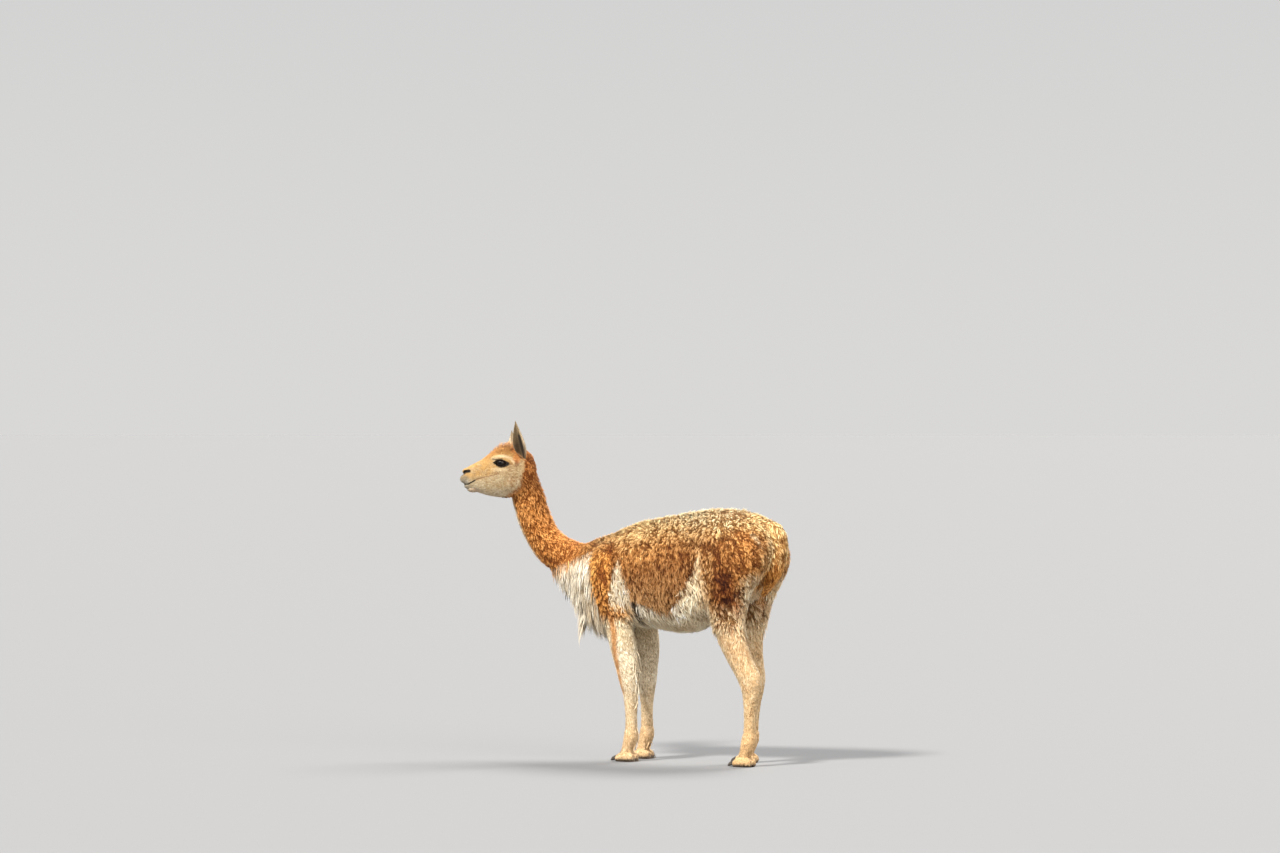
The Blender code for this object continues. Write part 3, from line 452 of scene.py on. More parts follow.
@dataclass(frozen=True)
class Neck:
    """The neck from inside the breast up into the head, curving to the animal's left."""

    wool: float = 0.009
    stations: tuple = (
        # centre, half-width, half-depth
        ((-0.330, 0.000, 0.655), 0.100, 0.115),
        ((-0.448, 0.000, 0.677), 0.081, 0.096),
        ((-0.515, -0.010, 0.712), 0.063, 0.075),
        ((-0.577, -0.030, 0.762), 0.058, 0.066),
        ((-0.617, -0.058, 0.850), 0.055, 0.063),
        ((-0.634, -0.082, 0.940), 0.052, 0.064),
        ((-0.645, -0.100, 1.005), 0.049, 0.060),
        ((-0.650, -0.108, 1.045), 0.034, 0.040),
    )
    cut: tuple = ((-0.627, -0.070, 0.895), (-0.17, -0.24, 0.95))

    def build(self, first: int = 0) -> bpy.types.Object:
        """The neck's closed form, from the given station on."""
        rings = [Ring(Vector(c), wide - self.wool, deep - self.wool) for c, wide, deep in self.stations]
        return Bench.loft("neck_form", rings[first:], steps=6, sides=32)


@dataclass(frozen=True)
class Leg:
    """One leg from inside the body down to the pastern, with its foot.

    Its stations give z, x, y from the middle, half fore-and-aft and half across.
    """

    pair: Pair
    side: Side
    stride: tuple  # how far the foot stands back, and the heights where that starts and is full
    stations: tuple
    wool_ends: tuple
    wool: float = 0.014
    hair: float = 0.0015
    toe_half_width: float = 0.0155
    pastern_top: float = 0.16
    seam: float = 0.105

    @property
    def name(self) -> str:
        """The leg's name."""
        return f"{self.pair.value}_leg_{self.side.word}"

    def shift(self, z: float) -> float:
        """How far the leg is moved along x at a height."""
        shift, start, full = self.stride
        return shift * (1 - max(0.0, min(1.0, (z - full) / (start - full))))

    def fetlock(self) -> Vector:
        """The floor point under the fetlock joint."""
        z, x, y = next(station[:3] for station in self.stations if station[0] < 0.1)
        return Vector((x + self.shift(z), self.side.value * y, 0))

    def build(self) -> bpy.types.Object:
        """The leg's closed form."""
        rings = []
        for z, x, y, fore, across in self.stations:
            share = max(0.0, min(1.0, (z - self.wool_ends[0]) / (self.wool_ends[1] - self.wool_ends[0])))
            depth = self.wool * share + self.hair * (1 - share)
            centre = Vector((x + self.shift(z), self.side.value * y, z))
            rings.append(Ring(centre, fore - depth, across - depth))
        return Bench.loft(self.name + "_form", rings, steps=5, sides=24, side=X, up=Y)

    def build_foot(self) -> bpy.types.Object:
        """Pastern and two toes on soft pads, with flat soles, to be joined to the leg."""
        place = self.fetlock()
        forms = []
        for toe in (-1, 1):
            rings = [
                Ring(place + Vector((0.016, toe * 0.0135, 0.012)), self.toe_half_width * 0.75, 0.012),
                Ring(place + Vector((-0.004, toe * 0.0150, 0.016)), self.toe_half_width, 0.018),
                Ring(place + Vector((-0.030, toe * 0.0165, 0.014)), self.toe_half_width, 0.0175),
                Ring(place + Vector((-0.050, toe * 0.0170, 0.010)), self.toe_half_width * 0.85, 0.0125),
            ]
            forms.append(Bench.loft("toe_form", rings, steps=4, sides=20, side=Y, up=Z))
        pastern = [
            Ring(Vector((x0 + self.shift(z0), self.side.value * y0, z0)), f0 - self.hair, a0 - self.hair)
            for z0, x0, y0, f0, a0 in self.stations
            if z0 < self.pastern_top
        ]
        low = pastern[-1]
        middle = low.centre + Vector((-0.006, 0, -0.010))
        pastern.append(Ring(middle, low.half_width * 0.8, low.half_height * 0.8))
        forms.append(Bench.loft("pastern_form", pastern, steps=4, sides=20, side=X, up=Y))
        foot = Bench.join(forms, "foot_form")
        Bench.fuse(foot, 0.0026, rounds=3)
        Bench.cut_past(foot, Vector((0, 0, self.seam + SEAM_OVERLAP)), Z)
        return Bench.cut_past(foot, Vector((0, 0, 0)), -Z)

    def build_nail(self, toe: int) -> bpy.types.Object:
        """A pointed nail with a ridge, capping one toe's front."""
        place = self.fetlock()
        y = toe * 0.0168
        rings = [
            Ring(place + Vector((-0.040, y, 0.0150)), 0.0098, 0.0090),
            Ring(place + Vector((-0.050, y, 0.0140)), 0.0097, 0.0092),
            Ring(place + Vector((-0.058, y, 0.0120)), 0.0084, 0.0083),
            Ring(place + Vector((-0.068, y * 0.98, 0.0085)), 0.0055, 0.0062),
            Ring(place + Vector((-0.074, y * 0.95, 0.0045)), 0.0020, 0.0020),
        ]
        which = "outer" if toe * self.side.value > 0 else "inner"
        name = f"{self.pair.value}_nail_{self.side.word}_{which}"
        nail = Bench.loft(name + "_horn", rings, steps=3, sides=20, side=Y, up=Z)
        Bench.cut_past(nail, Vector((0, 0, 0.0002)), -Z)
        Bench.apply(nail, "BEVEL", width=0.0006, segments=2, limit_method="ANGLE", angle_limit=0.9)
        return nail


FORELEG = (
    (0.765, -0.290, 0.070, 0.050, 0.036),
    (0.700, -0.300, 0.088, 0.076, 0.054),
    (0.620, -0.292, 0.094, 0.080, 0.056),
    (0.545, -0.270, 0.092, 0.068, 0.050),
    (0.480, -0.252, 0.087, 0.055, 0.045),
    (0.400, -0.234, 0.081, 0.051, 0.042),
    (0.325, -0.219, 0.077, 0.045, 0.038),
    (0.272, -0.212, 0.075, 0.038, 0.034),
    (0.225, -0.209, 0.074, 0.028, 0.026),
    (0.150, -0.208, 0.073, 0.0225, 0.0210),
    (0.088, -0.208, 0.073, 0.0275, 0.0265),
    (0.050, -0.219, 0.073, 0.0240, 0.0250),
    (0.026, -0.228, 0.073, 0.0220, 0.0240),
)
HINDLEG = (
    (0.835, 0.205, 0.060, 0.085, 0.050),
    (0.760, 0.205, 0.083, 0.132, 0.072),
    (0.690, 0.200, 0.089, 0.140, 0.073),
    (0.600, 0.188, 0.092, 0.098, 0.064),
    (0.500, 0.190, 0.090, 0.071, 0.052),
    (0.430, 0.207, 0.088, 0.063, 0.046),
    (0.365, 0.236, 0.086, 0.054, 0.041),
    (0.305, 0.268, 0.085, 0.047, 0.036),
    (0.262, 0.275, 0.084, 0.036, 0.030),
    (0.205, 0.272, 0.083, 0.0265, 0.0240),
    (0.135, 0.268, 0.082, 0.0230, 0.0215),
    (0.085, 0.264, 0.082, 0.0280, 0.0265),
    (0.048, 0.253, 0.082, 0.0240, 0.0250),
    (0.026, 0.244, 0.082, 0.0220, 0.0240),
)
LEGS = (
    Leg(Pair.FORE, Side.LEFT, (0.0, 0.42, 0.30), FORELEG, (0.46, 0.56)),
    Leg(Pair.FORE, Side.RIGHT, (-0.020, 0.42, 0.30), FORELEG, (0.46, 0.56)),
    Leg(Pair.HIND, Side.LEFT, (0.004, 0.50, 0.31), HINDLEG, (0.30, 0.50)),
    Leg(Pair.HIND, Side.RIGHT, (-0.074, 0.52, 0.31), HINDLEG, (0.30, 0.50)),
)


@dataclass(frozen=True)
class Tail:
    """The tail's core, which hangs between the buttocks and curls to the left at its end."""

    stations: tuple = (
        ((0.290, 0.000, 0.845), 0.020, 0.018),
        ((0.338, -0.002, 0.820), 0.030, 0.026),
        ((0.356, -0.008, 0.760), 0.034, 0.028),
        ((0.344, -0.014, 0.695), 0.034, 0.028),
        ((0.318, -0.020, 0.640), 0.026, 0.022),
        ((0.292, -0.025, 0.595), 0.012, 0.010),
    )
    hair: float = 0.008

    def build(self) -> bpy.types.Object:
        """The tail's closed form."""
        rings = [Ring(Vector(c), a - self.hair, b - self.hair * 0.9) for c, a, b in self.stations]
        return Bench.loft("tail_form", rings, steps=4, sides=20)


@dataclass(frozen=True)
class Head:
    """The head in its own frame, muzzle along +x and left cheek on +y, and its place."""

    yaw: float = math.radians(40)
    base: tuple = (-0.643, -0.108, 1.028)
    hair: float = 0.0012
    eye_radius: float = 0.0175
    eye_place: tuple = (0.0770, 0.0345, 0.0215)
    eye_splay: float = math.radians(68)
    eye_tilt: float = math.radians(6)
    lid: float = 0.0028
    opening: tuple = (0.0212, 0.0112)
    skull: tuple = (
        # towards the muzzle, top, bottom, half-width, pear, square
        (-0.050, 0.022, -0.050, 0.026, 0.0, 1.0),
        (-0.036, 0.054, -0.072, 0.040, 0.0, 1.0),
        (0.000, 0.080, -0.090, 0.050, 0.0, 1.0),
        (0.035, 0.087, -0.098, 0.0520, 0.0, 0.95),
        (0.070, 0.083, -0.101, 0.0500, 0.06, 0.92),
        (0.096, 0.071, -0.098, 0.0440, 0.06, 0.92),
        (0.118, 0.054, -0.094, 0.0370, 0.0, 0.95),
        (0.142, 0.036, -0.087, 0.0315, -0.05, 0.95),
        (0.166, 0.023, -0.079, 0.0280, -0.05, 0.92),
        (0.187, 0.012, -0.070, 0.0250, 0.0, 0.90),
        (0.204, 0.000, -0.058, 0.0200, 0.0, 0.90),
    )
    lumps: tuple = (
        # centre and half-sizes, on both sides
        ((0.036, 0.024, -0.040), (0.056, 0.0265, 0.046)),
        ((0.078, 0.033, 0.041), (0.034, 0.0145, 0.0115)),
        ((0.193, 0.0105, -0.007), (0.018, 0.0105, 0.0135)),
        ((0.203, 0.0100, -0.034), (0.0165, 0.0125, 0.0160)),
        ((-0.006, 0.028, 0.050), (0.016, 0.012, 0.020)),
    )
    mouth: tuple = (
        # the line of the lips from the front of the muzzle back to its corner: x and z
        (0.207, -0.0525),
        (0.192, -0.0520),
        (0.178, -0.0445),
        (0.164, -0.0360),
        (0.152, -0.0315),
        (0.136, -0.0270),
    )
    mouth_radius: float = 0.0023
    nostril: tuple = ((0.2105, 0.0085, -0.0175), (0.2050, 0.0165, -0.0080), (0.1900, 0.0205, -0.0050))
    nostril_radii: tuple = (0.0022, 0.0048, 0.0020)

    def matrix(self) -> Matrix:
        """Carries the head's own frame to its place."""
        forward = Vector((-math.cos(self.yaw), -math.sin(self.yaw), 0))
        turn = Matrix((forward, Z.cross(forward), Z)).transposed().to_4x4()
        return Matrix.Translation(self.base) @ turn

    def nostril_line(self, way: int) -> list[tuple]:
        """The middle line of one nostril, on the cheek with that sign, in the head's own frame."""
        return [(x, y * way, z) for x, y, z in self.nostril]

    def eye_centre(self, side: Side) -> Vector:
        """The middle of an eye, in the head's own frame."""
        return Vector((self.eye_place[0], -side.value * self.eye_place[1], self.eye_place[2]))

    def eye_axes(self, side: Side) -> tuple[Vector, Vector, Vector]:
        """The ways an eye looks, along its lids and up, in the head's own frame."""
        flat = (math.cos(self.eye_splay), -math.sin(self.eye_splay) * side.value, math.tan(self.eye_tilt))
        axis = Vector(flat).normalized()
        level = Z.cross(axis).normalized() * side.value
        return axis, level, axis.cross(level).normalized() * side.value

    def lid_opening(self, side: Side) -> bpy.types.Object:
        """An almond-shaped bar through the lids, along the eye's axis."""
        axis, level, rise = self.eye_axes(side)
        loops = []
        for depth in (self.eye_radius * 0.15, self.eye_radius * 2):
            loop = []
            for n in range(28):
                angle = math.tau * n / 28
                c, s = math.cos(angle), math.sin(angle)
                narrow = 1 - 0.42 * abs(c) ** 2.5
                move = level * (c * self.opening[0]) + rise * (s * self.opening[1] * narrow)
                loop.append(self.eye_centre(side) + axis * depth + move)
            loops.append(loop)
        return Bench.loft_loops("lid_opening", loops)

    def build(self, neck: Neck) -> bpy.types.Object:
        """Skull, cheeks, brows, lips and chin with lids, nostrils and the mouth's line.

        Args:
            neck: The neck, whose top grows into the throat.

        Returns:
            The head, in its place.
        """
        rings = [
            Ring(
                Vector((x, 0, (top + low) / 2)), half - self.hair, (top - low) / 2 - self.hair, pear, square
            )
            for x, top, low, half, pear, square in self.skull
        ]
        forms = [Bench.loft("skull_form", rings, steps=4, sides=40, side=Y, up=Z)]
        for side in Side:
            for (x, y, z), halves in self.lumps:
                halves = [half - self.hair for half in halves]
                forms.append(Bench.ball("lump_form", Vector((x, -side.value * y, z)), halves))
        forms.append(Bench.ball("lip_form", Vector((0.190, 0, -0.0585)), (0.0140, 0.0165, 0.0100)))
        forms.append(Bench.ball("chin_form", Vector((0.172, 0, -0.0705)), (0.0215, 0.0165, 0.0115)))
        throat = neck.build(first=4)
        throat.data.transform(self.matrix().inverted())
        forms.append(throat)
        head = Bench.join(forms, "head_form")
        Bench.fuse(head, 0.0023, rounds=3)
        tree = Bench.tree(head)
        for side in Side:
            lids = Bench.ball("lids", self.eye_centre(side), [self.eye_radius + self.lid] * 3)
            Bench.unite(head, lids, "UNION")
        Bench.unite(head, self.mouth_line(tree), "DIFFERENCE")
        for side in Side:
            socket = Bench.ball("socket", self.eye_centre(side), [self.eye_radius + 0.0003] * 3)
            Bench.unite(head, socket, "DIFFERENCE")
            Bench.unite(head, self.lid_opening(side), "DIFFERENCE")
            points = [Vector(point) for point in self.nostril_line(-side.value)]
            Bench.unite(head, Bench.tube("nostril", points, self.nostril_radii), "DIFFERENCE")
        head.data.transform(self.matrix())
        return head

    def mouth_line(self, tree: BVHTree) -> bpy.types.Object:
        """A bar sunk half into the skin along the lips, round the front of the muzzle."""

        def on_skin(point: Vector, towards: Vector) -> Vector:
            """The place where a ray from outside meets the skin."""
            hit = tree.ray_cast(point - towards * 0.1, towards)[0]
            return hit if hit is not None else point

        left = [on_skin(Vector((x, 0, z)), -Y) for x, z in self.mouth[1:]]
        right = [on_skin(Vector((x, 0, z)), Y) for x, z in self.mouth[1:]]
        front = [on_skin(Vector((0.16, y, self.mouth[0][1])), -X) for y in (0.009, -0.009)]
        points = left[::-1] + front + right
        count = len(points)
        radii = [self.mouth_radius * (1.0 if 2 < k < count - 3 else 0.32) for k in range(count)]
        return Bench.tube("mouth_line", points, radii, steps=4, sides=10)

    def build_eye(self, side: Side) -> bpy.types.Object:
        """An eyeball with a raised cornea, turned along its axis."""
        axis, level, rise = self.eye_axes(side)
        turn = Matrix((level, rise, axis)).transposed().to_4x4()
        radii = [self.eye_radius] * 3
        name = f"eyeball_{side.word}"
        eye = Bench.ball(name, self.eye_centre(side), radii, turn, segments=48, rings=32)
        bpy.ops.object.mode_set(mode="EDIT")
        bpy.ops.mesh.select_all(action="DESELECT")
        bm = bmesh.from_edit_mesh(eye.data)
        top = self.eye_centre(side) + axis * self.eye_radius
        for vert in bm.verts:
            vert.select = (vert.co - top).length < self.eye_radius * 0.16
        bm.select_flush_mode()
        bmesh.update_edit_mesh(eye.data)
        bpy.ops.transform.translate(
            value=axis * 0.0009,
            use_proportional_edit=True,
            proportional_edit_falloff="SMOOTH",
            proportional_size=self.eye_radius * 0.62,
        )
        bpy.ops.object.mode_set(mode="OBJECT")
        eye.data.transform(self.matrix())
        return eye


@dataclass(frozen=True)
class Ear:
    """A leaf-shaped cup, widest low down, that opens forwards and outwards."""

    side: Side
    lean: tuple
    head: Head
    base: tuple = (-0.006, 0.042, 0.037)
    length: float = 0.144
    half_width: float = 0.0240
    wall: float = 0.0030
    leaf: tuple = (0.30, 0.66, 0.90, 1.0, 0.94, 0.79, 0.57, 0.31, 0.07)
    facing: tuple = (0.60, 0.80)
    depth: float = 0.80
    bow: float = 0.09
    arc: int = 14

    def axes(self) -> tuple[Vector, Vector, Vector]:
        """The ear's length, the way its cup opens, and the way across, in the head's own frame."""
        y = -self.side.value
        outward = Vector((self.lean[0], self.lean[1] * y, 1)).normalized()
        opening = Vector((self.facing[0], self.facing[1] * y, 0))
        opening = (opening - outward * opening.dot(outward)).normalized()
        return outward, opening, outward.cross(opening)

    def foot(self) -> Vector:
        """The middle of the ear's base, in the head's own frame."""
        return Vector((self.base[0], -self.side.value * self.base[1], self.base[2]))

    def build(self) -> bpy.types.Object:
        """The ear's closed wall, in its place."""
        outward, opening, across = self.axes()
        base = self.foot()
        loops = []
        steps = 3
        for k in range((len(self.leaf) - 1) * steps + 1):
            t = k / ((len(self.leaf) - 1) * steps)
            width = self.half_width * spline(self.leaf, t) - 0.0012
            inside = max(width - self.wall * (1 - 0.45 * t), width * 0.35)
            wrap = math.radians(136 - 46 * t)
            bow = opening * (self.bow * self.length * math.sin(math.pi * t))
            centre = base + outward * (self.length * t) + bow
            loop = []
            for radius, way in ((width, 1), (inside, -1)):
                for n in range(self.arc + 1):
                    angle = (n / self.arc * 2 - 1) * wrap * way
                    back = opening * (math.cos(angle) * radius * self.depth)
                    loop.append(centre + across * (math.sin(angle) * radius) - back)
            loops.append(loop)
        ear = Bench.loft_loops(f"ear_shell_{self.side.word}", loops)
        ear.data.transform(self.head.matrix())
        return ear


EARS = {Side.LEFT: (0.27, 0.22), Side.RIGHT: (0.18, 0.98)}


@dataclass(frozen=True)
class Flesh:
    """One skin for head, neck, trunk, legs and tail, which carries the coat."""

    head: Head
    neck: Neck
    trunk: Trunk
    tail: Tail
    legs: Sequence[Leg]
    voxel: float = 0.0070
    blend: float = 0.020
    throat_overlap: float = 0.002

    def build(self) -> bpy.types.Object:
        """The closed skin of the whole animal.

        Returns:
            The skin, smooth and in triangles.
        """
        forms = [self.trunk.build(), self.neck.build(), self.tail.build()]
        forms += [leg.build() for leg in self.legs]
        body = Bench.join(forms, "vicuna_skin")
        Bench.fuse(body, self.voxel)
        body = Bench.apply(body, "TRIANGULATE")
        point, normal = Vector(self.neck.cut[0]), Vector(self.neck.cut[1]).normalized()
        Bench.cut_past(body, point, normal)
        seam = self.legs[0].seam
        Bench.cut_past(body, Vector((0, 0, seam)), -Z)
        head = Bench.apply(self.head.build(self.neck), "TRIANGULATE")
        Bench.cut_past(head, point - normal * self.throat_overlap, -normal)
        Bench.unite(body, head, "UNION")
        for leg in self.legs:
            Bench.unite(body, Bench.apply(leg.build_foot(), "TRIANGULATE"), "UNION")
        self.soften(body, lambda co: abs((co - point).dot(normal)), self.blend)
        self.soften(body, lambda co: abs(co.z - seam), self.blend)
        Bench.take(body)
        bpy.ops.object.shade_smooth()
        LOG.info("skin: %d faces", len(body.data.polygons))
        return body

    @staticmethod
    def soften(body: bpy.types.Object, away: Callable[[Vector], float], reach: float) -> None:
        """Smooths the skin near a seam.

        Args:
            body: The skin.
            away: The distance of a point from the seam.
            reach: The distance within which the skin is smoothed.
        """
        group = body.vertex_groups.new(name="seam")
        for vert in body.data.vertices:
            share = 1 - away(vert.co) / reach
            if share > 0:
                group.add([vert.index], min(1.0, share * 1.6), "REPLACE")
        Bench.apply(body, "SMOOTH", factor=0.5, iterations=25, vertex_group=group.name)
        body.vertex_groups.clear()


# Colours


def tone(red: int, green: int, blue: int) -> Array:
    """A colour given in display values, as linear light."""
    value = np.array([red, green, blue]) / 255
    return np.where(value <= 0.04045, value / 12.92, ((value + 0.055) / 1.055) ** 2.4)


class Tone(Enum):
    """The coat's and skin's colours."""

    GOLD = (255, 216, 154)
    STRAW = (255, 230, 184)
    HONEY = (224, 158, 88)
    BROWN = (164, 112, 64)
    SHOULDER = (252, 180, 98)
    RUST = (134, 68, 24)
    ORANGE = (232, 160, 88)
    NAPE = (220, 138, 70)
    WHITE = (236, 226, 206)
    CREAM = (244, 226, 192)
    BEIGE = (214, 184, 140)
    OCHRE = (230, 184, 128)
    TAIL = (226, 156, 80)
    CHEEK = (222, 196, 150)
    FACE = (224, 178, 110)
    FOREHEAD = (178, 126, 62)
    LIP = (196, 186, 166)
    LIP_GREY = (150, 138, 116)
    PINK = (206, 160, 136)
    BLACK = (26, 21, 18)
    EAR_BACK = (110, 91, 66)
    EAR_RIM = (222, 200, 168)
    # The ear's dark inner skin, also laid as painted shade deep in the cup.
    EAR_INSIDE = (40, 30, 22)
    PAD = (92, 78, 66)
    # A dark brown: painted shade in the elbows' gaps and the tail's cleft, also laid on the thigh's darkest
    # mottles.
    SHADE = (56, 40, 26)

    @property
    def light(self) -> Array:
        """The colour as linear light."""
        return tone(*self.value)


def warmed(light: Array, warmth: float) -> Array:
    """Brightness as factors of red, green and blue, warmer where it is darker."""
    return np.stack([light, light ** (1 + 0.34 * warmth), light ** (1 + 0.80 * warmth)], axis=-1)


class Paint:
    """Colours laid over each other at many places."""

    def __init__(self, count: int, ground: Tone) -> None:
        """Starts with one colour everywhere."""
        self.colours = np.tile(ground.light, (count, 1))

    def lay(self, over: Tone, share: Array) -> None:
        """Lays a colour over the others by a share at each place."""
        share = np.clip(share, 0, 1)[:, None]
        self.colours = self.colours * (1 - share) + over.light * share


def blob(points: Array, centre: Sequence[float], halves: Sequence[float], edge: float = 0.35) -> Array:
    """One inside an ellipsoid and 0 outside, with a soft edge.

    Args:
        points: Places, one to a row.
        centre: The ellipsoid's middle.
        halves: Its half-sizes along the axes.
        edge: The edge's width as a share of the size.

    Returns:
        The share at each place.
    """
    reach = np.linalg.norm((points - np.array(centre)) / np.array(halves), axis=1)
    return 1 - soft(reach, 1.0, edge)


def line_distance(points: Array, line: Sequence[Sequence[float]]) -> Array:
    """The distance from each place to a line through the given points."""
    best = np.full(len(points), 9.0)
    for start, end in zip(line[:-1], line[1:]):
        start, end = np.array(start), np.array(end)
        run = end - start
        share = np.clip((points - start) @ run / (run @ run), 0, 1)
        best = np.minimum(best, np.linalg.norm(points - start - share[:, None] * run, axis=1))
    return best


@dataclass(frozen=True)
class Markings:
    """Where each colour and each kind of hair lies on the animal.

    In the paint methods, paired places have their right side laid over the left one, and
    ragged is the noise that frays the edges. Lines and edges are in the animal's own frame,
    those of the face in the head's.
    """

    head: Head
    neck: Neck
    tail: Tail
    bib_edge: tuple = (
        (0.40, 0.45, 0.559, 0.647, 0.730, 0.78),
        (-0.300, -0.315, -0.328, -0.346, -0.359, -0.40),
    )
    brown_edge: tuple = (
        (-0.19, -0.165, -0.115, -0.075, -0.034, -0.008, 0.020, 0.043, 0.090, 0.100, 0.108, 0.124),
        (0.570, 0.575, 0.556, 0.540, 0.528, 0.552, 0.586, 0.628, 0.690, 0.742, 0.738, 0.660),
    )
    strip: tuple = (
        (-0.284, 0.142, 0.570),
        (-0.260, 0.134, 0.520),
        (-0.250, 0.128, 0.456),
        (-0.252, 0.116, 0.395),
        (-0.246, 0.108, 0.320),
        (-0.235, 0.098, 0.250),
    )
    seat_line: tuple = (
        (0.290, -0.088, 0.800),
        (0.306, -0.086, 0.760),
        (0.306, -0.084, 0.715),
        (0.296, -0.086, 0.675),
        (0.288, -0.090, 0.630),
        (0.262, -0.090, 0.590),
    )
    # The middle line of the painted shadow in the cleft beside the tail.
    cleft_line: tuple = ((0.324, -0.080, 0.690), (0.318, -0.078, 0.645), (0.300, -0.074, 0.590))
    brow_line: tuple = ((0.107, 0.038), (0.085, 0.046), (0.067, 0.047), (0.045, 0.040), (0.0325, 0.026))
    under_eye_line: tuple = ((0.132, -0.018), (0.092, -0.008), (0.060, 0.001), (0.044, 0.012))
    elbow_gap: tuple = ((-0.168, 0.135, 0.575), (-0.166, 0.110, 0.530), (-0.176, 0.075, 0.500))
    thigh_fold: tuple = ((0.103, 0.749), (0.043, 0.630), (-0.034, 0.535))
    jaw_angle: tuple = (-0.0035, 0, -0.049)
    jaw_way: tuple = (0.63, 0, 0.777)
    wrinkle: float = 0.0115

    def in_head(self, points: Array) -> Array:
        """The places in the head's own frame, with the left cheek on +y."""
        matrix = np.array(self.head.matrix().inverted())
        return points @ matrix[:3, :3].T + matrix[:3, 3]

    def above_jaw(self, local: Array) -> Array:
        """How far each place in the head's own frame is above the plane behind the jaw."""
        return (local - np.array(self.jaw_angle)) @ np.array(self.jaw_way)

    @staticmethod
    def throat_height(x: Array) -> Array:
        """The height where the white breast gives way to the orange neck."""
        return 0.688 + (x + 0.506) * 0.318

    def head_share(self, points: Array) -> Array:
        """How far each place is on the head rather than on the neck, along the jaw's rear."""
        local = self.in_head(points)
        hx, _, hz = local.T
        rise = self.above_jaw(local)
        ragged = fractal_noise(points, 120, 33) * 0.006
        behind = np.interp(hz, (-0.10, -0.03, 0.03, 0.075, 0.095), (0.010, 0.002, -0.010, 0.004, 0.020))
        near = 1 - soft(np.linalg.norm(local - np.array([0.09, 0, 0]), axis=1), 0.26, 0.02)
        return soft(rise, 0.0, 0.016) * soft(hx + ragged, behind, 0.010) * near

    def neck_share(self, points: Array) -> Array:
        """How far each place is on the neck or the head rather than on the trunk."""
        rise = (points - np.array([-0.440, 0, 0.710])) @ unit(np.array([-0.76, 0, 0.65]))
        return soft(rise, 0.0, 0.05)

    def tail_share(self, points: Array) -> Array:
        """How far each place is on the tail."""
        line = [centre for centre, _, _ in self.tail.stations]
        return 1 - soft(line_distance(points, line[1:]), 0.036, 0.010)

    def gap_share(self, points: Array) -> Array:
        """How far each place is in the gap behind the elbow, which is painted with shade."""
        paired = mirrored(points)
        gap = 1 - soft(line_distance(paired, self.elbow_gap), 0.013, 0.008)
        return gap * soft(paired[:, 1], 0.06, 0.03)

    def patch_share(self, points: Array) -> Array:
        """How far each place is on the white patch behind the shoulder."""
        x, y, z = points.T
        heights = (0.56, 0.60, 0.64, 0.68, 0.72)
        streaky = streaks(points, 0.3, 75, 25) * 0.010
        front = np.interp(z, heights, (-0.262, -0.265, -0.262, -0.250, -0.234))
        behind = np.interp(z, heights, (-0.178, -0.184, -0.202, -0.218, -0.230))
        inside = soft(x + streaky, front, 0.012) * (1 - soft(x + streaky, behind, 0.016))
        return inside * window(z, 0.556, 0.716, 0.03) * soft(np.abs(y), 0.08, 0.03)

    def bib_share(self, points: Array) -> Array:
        """How far each place is on the white breast."""
        x, _, z = points.T
        ragged = streaks(points, 0.35, 90, 3) * 0.012
        behind = np.interp(z, *self.bib_edge) + ragged
        top = self.throat_height(x) + ragged
        return (1 - soft(x, behind, 0.016)) * (1 - soft(z, top, 0.03))

    def fold_share(self, points: Array) -> Array:
        """How far each place is on the cream belly, below the brown and behind the flank's fold."""
        x, _, z = points.T
        ragged = streaks(points, 0.4, 110, 5) * 0.010
        low = np.interp(x, *self.brown_edge) + ragged
        within = window(x, -0.175, 0.122, 0.03)
        return (1 - soft(z, low, 0.016)) * within

    def creases(self, points: Array) -> Array:
        """How far each place is in a crease of the fleece, where tufts are shorter and sunk and shade is
        painted: thin, wandering lines.
        """
        x, y, z = points.T

        def lines(way: Sequence[float], scale: float, stretch: float, width: float, seed: int) -> Array:
            """Thin lines that run along a way."""
            run = unit(np.array(way))
            squeezed = points - (points @ run)[:, None] * run * (1 - 1 / stretch)
            return 1 - soft(np.abs(fractal_noise(squeezed, scale, seed, 2)), width, width)

        neck = self.neck_share(points)
        body = (1 - neck) * soft(z, 0.50, 0.04)
        back = lines((1, 0, -0.45), 42, 2.4, 0.120, 81) * soft(z, 0.70, 0.10)
        haunch = soft(x, 0.12, 0.08) * (1 - 0.5 * soft(x, 0.285, 0.04))
        rump = lines((0.5, 0.2, -0.9), 46, 2.2, 0.125, 83) * haunch
        knot = blob(points * [1, 0, 1], (0.095, 0.0, 0.790), (0.070, 1.0, 0.065), 1.0)
        fine = lines((0.6, 0.2, -0.8), 85, 1.4, 0.085, 93) * soft(z, 0.62, 0.10) * (0.6 + 0.4 * knot)
        flank = lines((0.45, 0, -0.9), 75, 5.0, 0.10, 85) * (1 - soft(z, 0.76, 0.10)) * 0.9
        fold = np.stack([x, z], axis=1)
        near = 1 - soft(line_distance(fold, self.thigh_fold), 0.030, 0.02)
        folded = lines((-0.43, 0, -0.9), 70, 5.0, 0.14, 87) * near
        axis = np.array([centre for centre, _, _ in self.neck.stations[3:]])
        axis_x, axis_y = (np.interp(z, axis[:, 2], axis[:, k]) for k in range(2))
        rearward = (x - axis_x) * 0.87 + (y - axis_y) * 0.5
        wander = lattice_noise(points, 45, 89) * 1.3 + lattice_noise(points, 110, 90) * 0.5
        upward = points @ unit(np.array([0.563, 0.325, 0.76]))
        wrinkles = np.abs(np.sin(upward * math.pi / self.wrinkle + wander))
        broken = soft(lattice_noise(points, 38, 94), -0.35, 0.5)
        nape = (1 - soft(wrinkles, 0.42, 0.34)) * broken * soft(z, 0.955, 0.06)
        nape = nape * soft(rearward, -0.006, 0.02)
